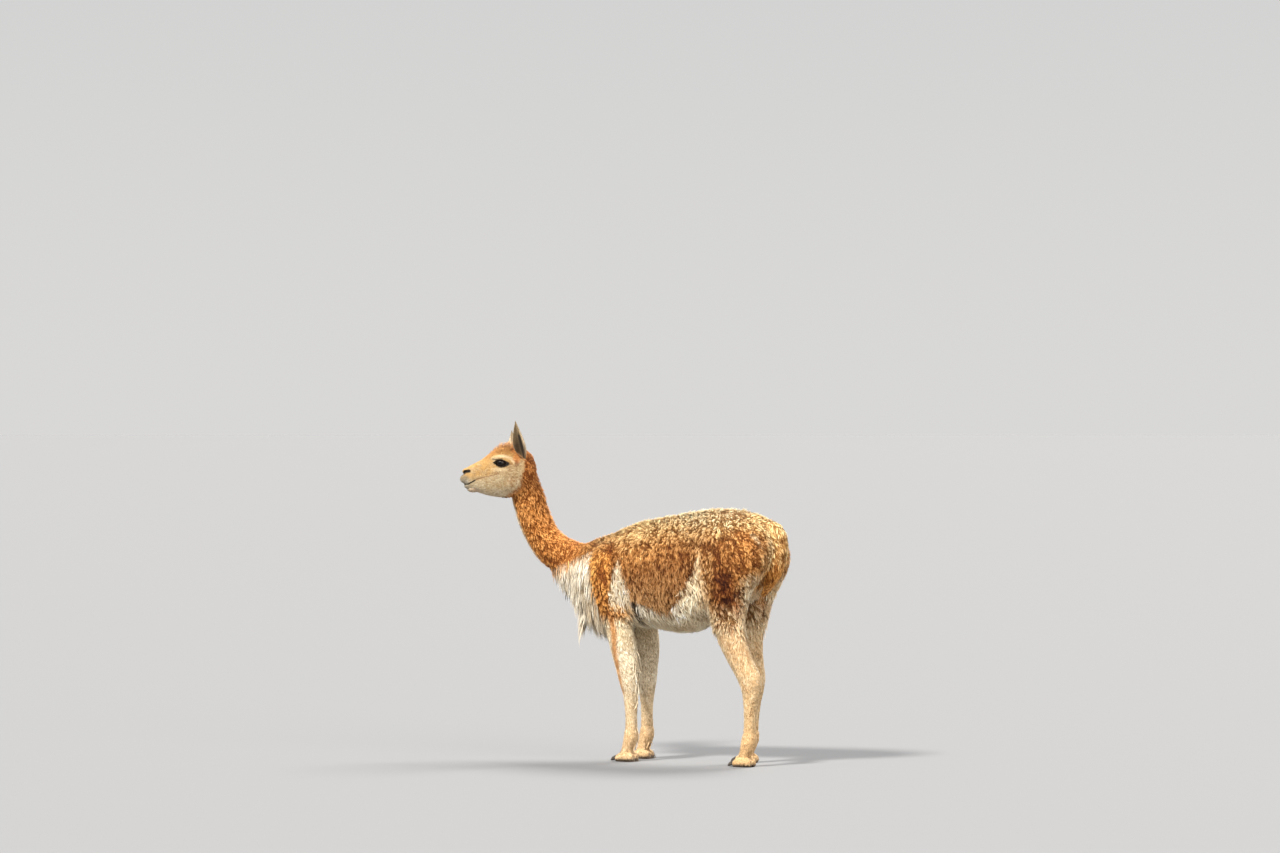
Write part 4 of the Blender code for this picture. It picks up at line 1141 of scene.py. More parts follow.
        throat = lines((0.5, 0.2, -0.8), 75, 1.8, 0.13, 91) * 0.8
        breast = lines((0.1, 0, -1), 62, 6.0, 0.10, 95) * self.bib_share(points) * 0.8
        on_body = np.maximum(np.maximum(np.maximum(back, rump), fine), np.maximum(flank, folded))
        on_body = np.maximum(on_body * (1 - 0.7 * self.bib_share(points)), breast)
        return np.maximum(on_body * body, np.maximum(nape, throat) * neck) * (1 - self.head_share(points))

    def colour(self, points: Array, normals: Array) -> Array:
        """The coat's colour.

        Args:
            points: Places on the skin, one to a row.
            normals: The skin's normals there.

        Returns:
            Linear colours, one to a row.
        """
        x, y, z = points.T
        paired = mirrored(points)
        outward = normals * np.stack([np.ones(len(y)), np.sign(y), np.ones(len(y))], axis=1)
        ragged = fractal_noise(points, 70, 11) * 0.5
        paint = Paint(len(points), Tone.BROWN)
        paint.lay(Tone.OCHRE, (1 - soft(z + 0.03 * ragged, 0.63, 0.12)) * 0.30)
        fore = 1 - soft(x, -0.10, 0.25)
        paint.lay(Tone.HONEY, soft(z + 0.05 * ragged, 0.745 - 0.045 * fore, 0.14))
        gold_edge = 0.800 - 0.02 * soft(x, 0.05, 0.2) - 0.025 * fore
        paint.lay(Tone.GOLD, soft(z + 0.05 * ragged, gold_edge, 0.13))
        knot = blob(paired, (0.085, 0.13, 0.800), (0.060, 0.10, 0.050), 1.0)
        paint.lay(Tone.BROWN, knot * 0.35)
        paint.lay(Tone.STRAW, soft(z + 0.04 * ragged, 0.840, 0.07) * soft(x, -0.12, 0.3))
        paint.lay(Tone.GOLD, soft(x, 0.235, 0.07) * soft(z, 0.64, 0.10))
        buttock = soft(x + 0.03 * ragged, 0.300, 0.05) * soft(z, 0.70, 0.10)
        buttock *= (1 - 0.75 * soft(z, 0.79, 0.05)) * (0.95 - 0.70 * soft(paired[:, 1], 0.07, 0.04))
        paint.lay(Tone.STRAW, buttock)
        self.paint_shoulder(paint, paired, ragged)
        self.paint_belly(paint, points, normals)
        self.paint_hind(paint, paired, outward, ragged)
        self.paint_legs(paint, paired)
        # Painted shade in the gap behind each elbow.
        paint.lay(Tone.SHADE, self.gap_share(paired) * 0.95)
        self.paint_neck(paint, points, normals, ragged)
        self.paint_tail(paint, points, ragged)
        self.paint_head(paint, points)
        return paint.colours

    def paint_shoulder(self, paint: Paint, paired: Array, ragged: Array) -> None:
        """The golden-brown shoulder band, the white patch behind it and the elbow."""
        x, _, z = paired.T
        band = window(x + ragged * 0.01, -0.350, -0.268, 0.03) * window(z, 0.530, 0.745, 0.06)
        paint.lay(Tone.SHOULDER, band)
        rim = window(x + ragged * 0.006, -0.362, -0.338, 0.016) * window(z, 0.56, 0.76, 0.05)
        paint.lay(Tone.GOLD, rim * 0.30)
        low = blob(paired, (-0.292, 0.14, 0.600), (0.030, 0.08, 0.050), 0.9)
        paint.lay(Tone.RUST, low * soft(ragged, 0.0, 0.6) * 0.45)
        white = self.patch_share(paired)
        paint.lay(Tone.CREAM, white * 0.85)
        paint.lay(Tone.WHITE, white * soft(lattice_noise(paired, 60, 21), -0.1, 0.6) * 0.8)
        elbow = blob(paired, (-0.205, 0.13, 0.535), (0.060, 0.08, 0.036), 0.7)
        paint.lay(Tone.BEIGE, elbow)
        paint.lay(Tone.HONEY, elbow * soft(ragged, -0.1, 0.6) * 0.80)

    def paint_belly(self, paint: Paint, points: Array, normals: Array) -> None:
        """The white breast and cream belly, with painted shade in the breast's streaks, low on it and
        underneath.
        """
        x, y, z = points.T
        fold = self.fold_share(points)
        paint.lay(Tone.CREAM, fold)
        paint.lay(Tone.WHITE, fold * window(z, 0.46, 0.62, 0.05) * (1 - soft(x, 0.02, 0.05)))
        under = soft(-normals[:, 2], 0.55, 0.3) * (1 - soft(z, 0.60, 0.05))
        paint.lay(Tone.CREAM, under)
        # Painted shade on the belly's downward-facing underside.
        paint.lay(Tone.BEIGE, under * soft(x, -0.10, 0.10) * soft(-normals[:, 2], 0.80, 0.25))
        between = (1 - soft(np.abs(y), 0.055, 0.03)) * (1 - soft(z, 0.54, 0.06))
        paint.lay(Tone.CREAM, between)
        bib = self.bib_share(points)
        paint.lay(Tone.WHITE, bib)
        # Painted shade in the breast's streaks and on its lower part.
        shaded = soft(streaks(points, 0.3, 60, 23), 0.05, 0.7) * (1 - soft(z, 0.64, 0.10))
        paint.lay(Tone.BEIGE, bib * (shaded * 0.50 + 0.15 * (1 - soft(z, 0.60, 0.10))))
        # Painted shade under the breast's lowest point.
        tip = blob(points, (-0.395, 0.0, 0.485), (0.04, 0.035, 0.020), 0.8)
        paint.lay(Tone.BEIGE, tip * 0.6)

    def paint_hind(self, paint: Paint, paired: Array, normals: Array, ragged: Array) -> None:
        """The rust thigh, its pale edges and the mottled lower leg."""
        x, side, z = paired.T
        heights = (0.45, 0.52, 0.60, 0.68, 0.76)
        middle = np.interp(z, heights, (0.222, 0.216, 0.210, 0.206, 0.204))
        half = np.interp(z, heights, (0.036, 0.048, 0.054, 0.048, 0.036))
        core = 1 - soft(np.abs(x - middle) / half + ragged * 0.70, 0.90, 1.20)
        outer = soft(side, 0.06, 0.03)
        ragged_x = x + ragged * 0.02
        thigh = window(ragged_x, 0.120, 0.300, 0.04) * window(z, 0.50, 0.800, 0.09) * outer
        paint.lay(Tone.HONEY, thigh * 0.75)
        lit = window(ragged_x, 0.095, 0.165, 0.03) * window(z, 0.55, 0.80, 0.06) * outer
        paint.lay(Tone.OCHRE, lit * 0.55)
        mottle = soft(ragged * 1.6 + lattice_noise(paired, 110, 4) * 0.6, 0.0, 0.7)
        paint.lay(Tone.RUST, core * window(z, 0.505, 0.700, 0.15) * outer * (0.60 + 0.40 * mottle))
        deep = blob(paired, (0.205, 0.15, 0.600), (0.028, 0.08, 0.060), 1.0)
        paint.lay(Tone.SHADE, deep * (0.08 + 0.34 * mottle))
        seat_side = window(ragged_x, 0.245, 0.335, 0.03) * window(z, 0.62, 0.81, 0.06) * outer
        paint.lay(Tone.HONEY, seat_side * 0.80)
        paint.lay(Tone.BROWN, seat_side * 0.18)
        hip = window(ragged_x, 0.225, 0.300, 0.04) * window(z, 0.74, 0.84, 0.04)
        paint.lay(Tone.HONEY, hip * soft(side, 0.09, 0.03) * 0.65)
        leg = soft(x, 0.108, 0.02) * (1 - soft(z + ragged * 0.02, 0.545, 0.07))
        seen = normals[:, 0] * 0.5 + normals[:, 1] * 0.87
        across = normals[:, 0] * 0.87 - normals[:, 1] * 0.5
        paint.lay(Tone.CREAM, leg * 0.85)
        ochre = soft(seen + ragged * 0.25, 0.05, 0.5) * window(across + ragged * 0.15, -0.78, 0.66, 0.30)
        fine = soft(lattice_noise(paired, 190, 6) + ragged * 0.6, 0.0, 0.7)
        paint.lay(Tone.BEIGE, leg * 0.45)
        paint.lay(Tone.OCHRE, leg * ochre * (0.12 + 0.42 * fine))
        paint.lay(Tone.RUST, leg * ochre * fine * mottle * soft(z, 0.40, 0.20) * 0.55)
        paint.lay(Tone.OCHRE, leg * (1 - ochre) * soft(across, 0.0, 0.6) * mottle * 0.45)
        rear = np.interp(z, (0.45, 0.50, 0.60, 0.66), (0.262, 0.254, 0.250, 0.268))
        seat = soft(x + ragged * 0.03, rear, 0.030) * window(z, 0.46, 0.668, 0.05)
        paint.lay(Tone.BEIGE, seat * 0.75)
        paint.lay(Tone.CREAM, seat * (1 - mottle) * 0.8)
        front = soft(-normals[:, 0], 0.45, 0.5) * (1 - soft(z, 0.70, 0.10)) * window(x, 0.085, 0.135, 0.03)
        paint.lay(Tone.CREAM, front * 0.8)

    def paint_legs(self, paint: Paint, paired: Array) -> None:
        """The cream forelegs with a brown strip, and the dusky feet."""
        x, _, z = paired.T
        fore = (1 - soft(z, 0.505, 0.05)) * (1 - soft(x, -0.135, 0.03))
        paint.lay(Tone.CREAM, fore)
        paint.lay(Tone.WHITE, fore * (1 - soft(z, 0.42, 0.10)) * 0.5)
        away = line_distance(paired, self.strip) + lattice_noise(paired, 90, 15) * 0.003
        strip = 1 - soft(away, 0.0115, 0.014)
        paint.lay(Tone.HONEY, strip * 0.85)
        paint.lay(Tone.BROWN, strip * 0.25)
        paint.lay(Tone.BEIGE, (1 - soft(z, 0.24, 0.10)) * 0.6)
        paint.lay(Tone.OCHRE, (1 - soft(z, 0.12, 0.08)) * 0.45)
        paint.lay(Tone.PAD, 1 - soft(z, 0.010, 0.008))

    def paint_neck(self, paint: Paint, points: Array, normals: Array, ragged: Array) -> None:
        """The orange neck, pale along the throat and darker at the nape."""
        x, _, z = points.T
        neck = self.neck_share(points) * soft(z, self.throat_height(x), 0.03)
        paint.lay(Tone.ORANGE, neck)
        front = normals @ unit(np.array([-0.93, -0.30, -0.2]))
        paint.lay(Tone.CREAM, neck * soft(front + ragged * 0.08, 0.80, 0.22) * 0.85)
        back = soft(-front + ragged * 0.2, 0.25, 0.6) * soft(z, 0.99, 0.10)
        paint.lay(Tone.NAPE, neck * back * 0.7)
        paint.lay(Tone.BROWN, neck * soft(z, 0.93, 0.14) * 0.40)

    def paint_tail(self, paint: Paint, points: Array, ragged: Array) -> None:
        """The tail, golden at its root and orange below, with the pale streak beside it and painted shadow
        in the cleft.
        """
        share = self.tail_share(points)
        z = points[:, 2]
        paint.lay(Tone.GOLD, share)
        paint.lay(Tone.TAIL, share * (1 - soft(z + ragged * 0.03, 0.715, 0.07)))
        seat = blob(points, (0.300, 0.035, 0.640), (0.06, 0.050, 0.070), 0.6)
        paint.lay(Tone.OCHRE, seat * 0.5)
        streak = line_distance(points, self.seat_line) + lattice_noise(points, 120, 19) * 0.004
        paint.lay(Tone.CREAM, (1 - soft(streak, 0.011, 0.012)) * 0.95)
        # Painted shadow in the cleft between the buttock and the tail.
        cleft = line_distance(points, self.cleft_line)
        paint.lay(Tone.SHADE, (1 - soft(cleft, 0.007, 0.008)) * 0.75)

    def paint_head(self, paint: Paint, points: Array) -> None:
        """The face with its lips and eye rings, and painted shade in the mouth's line, the fold behind it
        and the nostrils.
        """
        local = self.in_head(points)
        hx, hy, hz = local.T
        paired = mirrored(local)
        share = self.head_share(points)
        face = Paint(len(points), Tone.CHEEK)
        ragged = fractal_noise(points, 120, 31)
        upper = np.interp(hx, (0.0, 0.05, 0.10, 0.14, 0.19), (0.040, 0.014, -0.012, -0.024, -0.034))
        face.lay(Tone.FACE, soft(hz + ragged * 0.006, upper, 0.022))
        face.lay(Tone.FOREHEAD, soft(hz + ragged * 0.006, 0.052, 0.03) * (1 - soft(hx, 0.105, 0.04)))
        behind = np.interp(hz, (-0.09, -0.03, 0.03, 0.07), (0.012, 0.004, -0.004, 0.014))
        face.lay(Tone.ORANGE, (1 - soft(hx + ragged * 0.008, behind, 0.026)) * soft(hz, -0.085, 0.03))
        mottle = soft(fractal_noise(points, 85, 37), 0.0, 0.9)
        face.lay(Tone.BEIGE, (mottle - 0.2) * soft(-hz, -0.030, 0.03) * 0.8)
        face.lay(Tone.CREAM, (1 - mottle) * soft(-hz, 0.030, 0.03) * 0.6)
        speckle = soft(lattice_noise(points, 260, 35), 0.25, 0.4)
        cheek = blob(paired, (0.026, 0.045, -0.015), (0.040, 0.03, 0.056), 0.8)
        face.lay(Tone.BROWN, cheek * speckle * 0.75)
        face.lay(Tone.CREAM, (1 - soft(hz, -0.074, 0.022)) * 0.8)
        flat = np.stack([hx, hz], axis=1)
        brow = line_distance(flat, self.brow_line)
        face.lay(Tone.STRAW, (1 - soft(brow, 0.0050, 0.0070)) * soft(np.abs(hy), 0.02, 0.01) * 0.75)
        under = line_distance(flat, self.under_eye_line)
        face.lay(Tone.RUST, (1 - soft(under, 0.0012, 0.0034)) * 0.55)
        above_ear = blob(paired, (0.032, 0.04, 0.076), (0.012, 0.03, 0.020), 0.7)
        before_ear = blob(paired, (0.022, 0.05, 0.042), (0.014, 0.03, 0.018), 0.7)
        face.lay(Tone.NAPE, np.maximum(above_ear, before_ear) * 0.75)
        crown = np.array([(x, top) for x, top, *_ in self.head.skull[3:9]])
        crest = np.interp(hx, crown[:, 0], crown[:, 1])
        top = soft(hz - crest, -0.012, 0.018) * soft(hx, 0.02, 0.03) * (1 - soft(hx, 0.135, 0.04))
        face.lay(Tone.HONEY, top * 0.85)
        face.lay(Tone.STRAW, blob(paired, (0.085, 0.045, 0.001), (0.030, 0.02, 0.0070), 0.8) * 0.7)
        face.lay(Tone.RUST, blob(paired, (0.024, 0.05, 0.022), (0.007, 0.03, 0.014), 0.7) * 0.55)
        face.lay(Tone.LIP_GREY, soft(hx, 0.196, 0.014) * window(hz, -0.040, -0.022, 0.012) * 0.8)
        face.lay(Tone.LIP, soft(hx, 0.190, 0.014) * (1 - soft(hz, -0.036, 0.012)) * 0.9)
        face.lay(Tone.CREAM, window(hx, 0.15, 0.19, 0.02) * (1 - soft(hz, -0.056, 0.012)) * 0.6)
        face.lay(Tone.PINK, blob(paired, (0.172, 0.012, -0.074), (0.022, 0.016, 0.010), 0.6) * 0.35)
        # Painted shade in the line between the lips.
        lips = 1 - soft(line_distance(flat, self.head.mouth[:4]), 0.0026, 0.0030)
        face.lay(Tone.BLACK, lips * soft(hx, 0.166, 0.012))
        # Painted shade in the fold that runs back from the mouth's corner.
        fold = (*self.head.mouth[3:], (0.11, -0.021), (0.09, -0.014))
        crease = 1 - soft(line_distance(flat, fold), 0.0015, 0.0030)
        face.lay(Tone.RUST, crease * 0.65)
        # Painted shade in the nostrils' openings.
        for way in (1, -1):
            away = line_distance(local, self.head.nostril_line(way))
            face.lay(Tone.BLACK, 1 - soft(away, 0.0062, 0.0035))
        for side in Side:
            axis, level, rise = (np.array(way) for way in self.head.eye_axes(side))
            away = local - np.array(self.head.eye_centre(side))
            u, v, depth = away @ level, away @ rise, away @ axis
            u, v = u + 0.0020, v - 0.07 * u
            narrow = 0.0152 * (1 - 0.45 * np.clip(np.abs(u) / 0.030, 0, 1) ** 1.5)
            almond = np.sqrt((u / 0.0300) ** 2 + (v / narrow) ** 2)
            near = soft(depth, 0.002, 0.004)
            face.lay(Tone.BLACK, (1 - soft(almond, 1.0, 0.22)) * near)
        share = share[:, None]
        paint.colours = paint.colours * (1 - share) + face.colours * share * HEAD_DIMMING


# Finishes


class Shader:
    """A material being made: nodes are added with their inputs set or tied."""

    def __init__(self, name: str, inputs: dict) -> None:
        """Makes the material.

        Args:
            name: The material's name.
            inputs: The surface's constants by name.
        """
        self.material = bpy.data.materials.new(name)
        self.material.use_nodes = True
        self.tree = self.material.node_tree
        self.surface = self.tree.nodes["Principled BSDF"]
        self.fill(self.surface, inputs)

    def fill(self, node: bpy.types.Node, inputs: dict) -> None:
        """Sets a node's inputs: a constant on the socket itself, another node's output by a tie."""
        for key, value in inputs.items():
            if isinstance(value, bpy.types.NodeSocket):
                self.tree.links.new(value, node.inputs[key])
            else:
                node.inputs[key].default_value = value

    def add(self, kind: str, inputs: dict | None = None, **settings: object) -> bpy.types.Node:
        """Adds a node.

        Args:
            kind: Its type.
            inputs: Its inputs by name or number.
            **settings: Its properties.

        Returns:
            The node.
        """
        node = self.tree.nodes.new("ShaderNode" + kind)
        for name, value in settings.items():
            setattr(node, name, value)
        self.fill(node, inputs or {})
        return node

    def ramp(self, factor: bpy.types.NodeSocket, *stops: tuple) -> bpy.types.NodeSocket:
        """A run from one colour to another over a number.

        Args:
            factor: The number's socket.
            *stops: Two places with their colours.

        Returns:
            The colour's socket.
        """
        node = self.add("ValToRGB", {"Fac": factor})
        for element, (position, colour) in zip(node.color_ramp.elements, stops):
            element.position = position
            element.color = (*colour, 1)
        return node.outputs["Color"]


@dataclass(frozen=True)
class HairFinish:
    """Hair or fleece whose colour comes from the coat's own attribute.

    Args:
        name: The material's name.
        roughness: The fibres' roughness.
        sheen: The soft light at the fibres' edges.
        flecks: How much the colour varies from place to place.
        fleck_size: Flecks to the metre.
        bump: The depth of the fibre relief in metres.
        gloss: The strength of the fibres' highlights.
        sheen_tint: The colour of the soft light.
    """

    name: str
    roughness: float = 0.75
    sheen: float = 0.25
    flecks: float = 0.18
    fleck_size: float = 160.0
    bump: float = 0.0006
    gloss: float = 0.25
    sheen_tint: tuple = (1.0, 0.86, 0.66, 1)

    def build(self) -> bpy.types.Material:
        """Makes the material."""
        shader = Shader(self.name, {
            "Roughness": self.roughness,
            "Sheen Weight": self.sheen,
            "Sheen Roughness": 0.5,
            "Sheen Tint": self.sheen_tint,
            "Specular IOR Level": self.gloss,
        })
        place = shader.add("TexCoord").outputs["Object"]
        coat = shader.add("Attribute", attribute_name="coat").outputs["Color"]
        noise = shader.add("TexNoise", {"Scale": self.fleck_size, "Detail": 3.0, "Vector": place})
        level = shader.add("MapRange", {
            "From Min": 0.3,
            "From Max": 0.7,
            "To Min": 1.0 - self.flecks,
            "To Max": 1.0 + self.flecks,
            "Value": noise.outputs["Fac"],
        })
        flecked = shader.add("VectorMath", {0: coat, "Scale": level.outputs["Result"]}, operation="SCALE")
        fibre = shader.add("TexNoise", {"Scale": self.fleck_size * 5, "Detail": 2.0, "Vector": place})
        relief = {"Strength": 0.6, "Distance": self.bump, "Height": fibre.outputs["Fac"]}
        bump = shader.add("Bump", relief)
        shader.fill(shader.surface, {
            "Base Color": flecked.outputs["Vector"],
            "Normal": bump.outputs["Normal"],
        })
        return shader.material


@dataclass(frozen=True)
class EyeFinish:
    """A dark eye: brown iris, a lying oval pupil and a wet surface."""

    head: Head
    side: Side
    shift: Vector
    iris: tuple = (0.010, 0.0055, 0.003)
    pupil: tuple = (0.001, 0.001, 0.0012)
    pupil_halves: tuple = (0.0078, 0.0048)

    def build(self) -> bpy.types.Material:
        """Makes the material, with the pupil set along the eye's own axis."""
        shader = Shader(f"wet_eye_{self.side.word}", {"Roughness": 0.07, "IOR": 1.30})
        _, level, rise = self.head.eye_axes(self.side)
        turn = self.head.matrix().to_3x3()
        centre = self.head.matrix() @ self.head.eye_centre(self.side) + self.shift
        place = shader.add("TexCoord").outputs["Object"]
        away = shader.add("VectorMath", {0: place, 1: centre}, operation="SUBTRACT").outputs["Vector"]
        squares = []
        for way, size in zip((turn @ level, turn @ rise), self.pupil_halves):
            dot = shader.add("VectorMath", {0: away, 1: way / size}, operation="DOT_PRODUCT")
            grown = shader.add("Math", {0: dot.outputs["Value"]}, operation="ABSOLUTE")
            square = shader.add("Math", {0: grown.outputs["Value"], 1: 2.0}, operation="POWER")
            squares.append(square.outputs["Value"])
        total = shader.add("Math", dict(enumerate(squares)), operation="ADD").outputs["Value"]
        streaked = shader.add("TexNoise", {"Scale": 900.0, "Vector": place}).outputs["Fac"]
        dark, pale = ([value * light for value in self.iris] for light in (0.5, 1.7))
        brown = shader.ramp(streaked, (0.0, dark), (1.0, pale))
        edge = shader.add("MapRange", {"From Min": 0.8, "From Max": 1.5, "Value": total})
        parts = {"A": (*self.pupil, 1), "Factor": edge.outputs["Result"], "B": brown}
        mix = shader.add("Mix", parts, data_type="RGBA")
        shader.fill(shader.surface, {"Base Color": mix.outputs["Result"]})
        return shader.material


@dataclass(frozen=True)
class HornFinish:
    """Dark horn of the nails with faint growth lines and scuffs."""

    name: str = "nail_horn"
    dark: tuple = (0.030, 0.024, 0.020)
    pale: tuple = (0.105, 0.085, 0.065)
    grain: tuple = (260, 40, 260)

    def build(self) -> bpy.types.Material:
        """Makes the material."""
        shader = Shader(self.name, {})
        place = shader.add("TexCoord").outputs["Object"]
        stretch = shader.add("Mapping", {"Scale": self.grain, "Vector": place}).outputs["Vector"]
        noise = shader.add("TexNoise", {"Scale": 1.0, "Detail": 4.0, "Vector": stretch}).outputs["Fac"]
        rough = shader.add("MapRange", {"To Min": 0.35, "To Max": 0.6, "Value": noise})
        bump = shader.add("Bump", {"Strength": 0.5, "Distance": 0.0004, "Height": noise})
        shader.fill(shader.surface, {
            "Base Color": shader.ramp(noise, (0.35, self.dark), (0.75, self.pale)),
            "Roughness": rough.outputs["Result"],
            "Normal": bump.outputs["Normal"],
        })
        return shader.material


# The coat

Field = Callable[[Array, Array], Array]


@dataclass(frozen=True)
class Coat:
    """How one kind of hair grows. Lengths are in metres, angles in degrees.

    Args:
        name: The name of its pieces.
        slot: The name of the finish that its pieces get.
        where: The share of roots that grow, by place and normal.
        lie: The way the hair lies, by place and normal.
        spacing: The distance between roots.
        length: The hair's length, or a field of lengths.
        width: The tuft's width at its root.
        lift: How far it rises off the skin at its root.
        droop: How far its tip hangs, as a share of its length.
        swing: How far its way swings at random.
        wave: The size of its waves across, as a share of its length.
        clump: The distance between clumps.
        stretch: How much longer a clump is along the lie than across.
        pull: How far the tips draw together over a clump's middle.
        shade: The painted shade along the tuft: its brightness at the root and at the tip.
        spread: The random spread of a tuft's brightness.
        crack: How dark the shade painted in the gaps between clumps is.
        joints: Cross-sections before the tip.
        follow: Whether the hair keeps to the skin.
        sink: How deep its root sits in the skin.
        warmth: How much warmer its shaded parts are.
        plush: How far its shading follows the skin below, as in soft wool.
        upward: How far its shading leans upward, as in hair that hangs away from the skin.
        ridge: The height of its ridge as a share of its half-width.
    """

    name: str
    slot: str
    where: Field
    lie: Field
    spacing: float
    length: float | Field
    width: float
    lift: float = 30.0
    droop: float = 0.1
    swing: float = 12.0
    wave: float = 0.05
    clump: float = 0.024
    stretch: float = 1.4
    pull: float = 0.5
    shade: tuple = (0.62, 1.12)
    spread: float = 0.12
    crack: float = 0.45
    joints: int = 3
    follow: bool = True
    sink: float = 0.002
    warmth: float = 1.0
    plush: float = 0.6
    upward: float = 0.0
    ridge: float = 0.5


class Unwrap:
    """Lays the animal's skin out flat: head, neck and trunk, legs and tail, each round its axis.

    A cell is a region's left, bottom, width and height on the sheet.
    """

    trunk_cell = (0.01, 0.51, 0.58, 0.48)
    neck_cell = (0.61, 0.51, 0.38, 0.23)
    head_cell = (0.61, 0.76, 0.38, 0.23)
    tail_cell = (0.01, 0.01, 0.40, 0.10)

    def __init__(self, markings: Markings) -> None:
        """Keeps the markings, whose shares part the regions."""
        self.markings = markings

    @staticmethod
    def wound(
        distance: Array, across: Array, rise: Array, low: float, high: float, cell: tuple
    ) -> Array:
        """Places wound round an axis, laid out in one cell of the sheet.

        Args:
            distance: Each place's distance along the axis.
            across: Its distance to one side of the axis.
            rise: Its distance above the axis.
            low: The axis's start.
            high: Its end.
            cell: The cell's left, bottom, width and height.

        Returns:
            Sheet coordinates, one pair to a row.
        """
        u = np.clip((distance - low) / (high - low), 0, 1)
        v = np.arctan2(across, rise) / math.tau + 0.5
        left, bottom, width, height = cell
        return np.stack([left + u * width, bottom + v * height], axis=1)

    def place(self, points: Array) -> Array:
        """The sheet coordinates of places on the skin."""
        x, y, z = points.T
        marks = self.markings
        sheet = self.wound(x, y, z - 0.67, -0.50, 0.40, self.trunk_cell)
        neck = marks.neck_share(points) > 0.5
        found = self.wound(z, y + 0.06, x + 0.60, 0.60, 1.10, self.neck_cell)
        sheet[neck] = found[neck]
        head = marks.head_share(points) > 0.5
        local = marks.in_head(points)
        found = self.wound(local[:, 0], local[:, 1], local[:, 2], -0.06, 0.23, self.head_cell)
        sheet[head] = found[head]
        cells = {leg.name: (0.01 + 0.25 * k, 0.13, 0.22, 0.36) for k, leg in enumerate(LEGS)}
        for leg in LEGS:
            zs, xs, ys = np.array([station[:3] for station in leg.stations])[::-1].T
            mine = (z < 0.50) & (np.sign(y) == leg.side.value) & ((x > 0.05) == (leg.pair is Pair.HIND))
            moved = np.array([leg.shift(value) for value in (0.3, 0.6)])
            centre = np.interp(z, zs, xs) + np.interp(z, (0.3, 0.5), moved)
            away = y - leg.side.value * np.interp(z, zs, ys)
            found = self.wound(z, away, x - centre, 0.0, 0.55, cells[leg.name])
            sheet[mine] = found[mine]
        tail = marks.tail_share(points) > 0.5
        found = self.wound(z, y + 0.012, x - 0.335, 0.55, 0.86, self.tail_cell)
        sheet[tail] = found[tail]
        return sheet


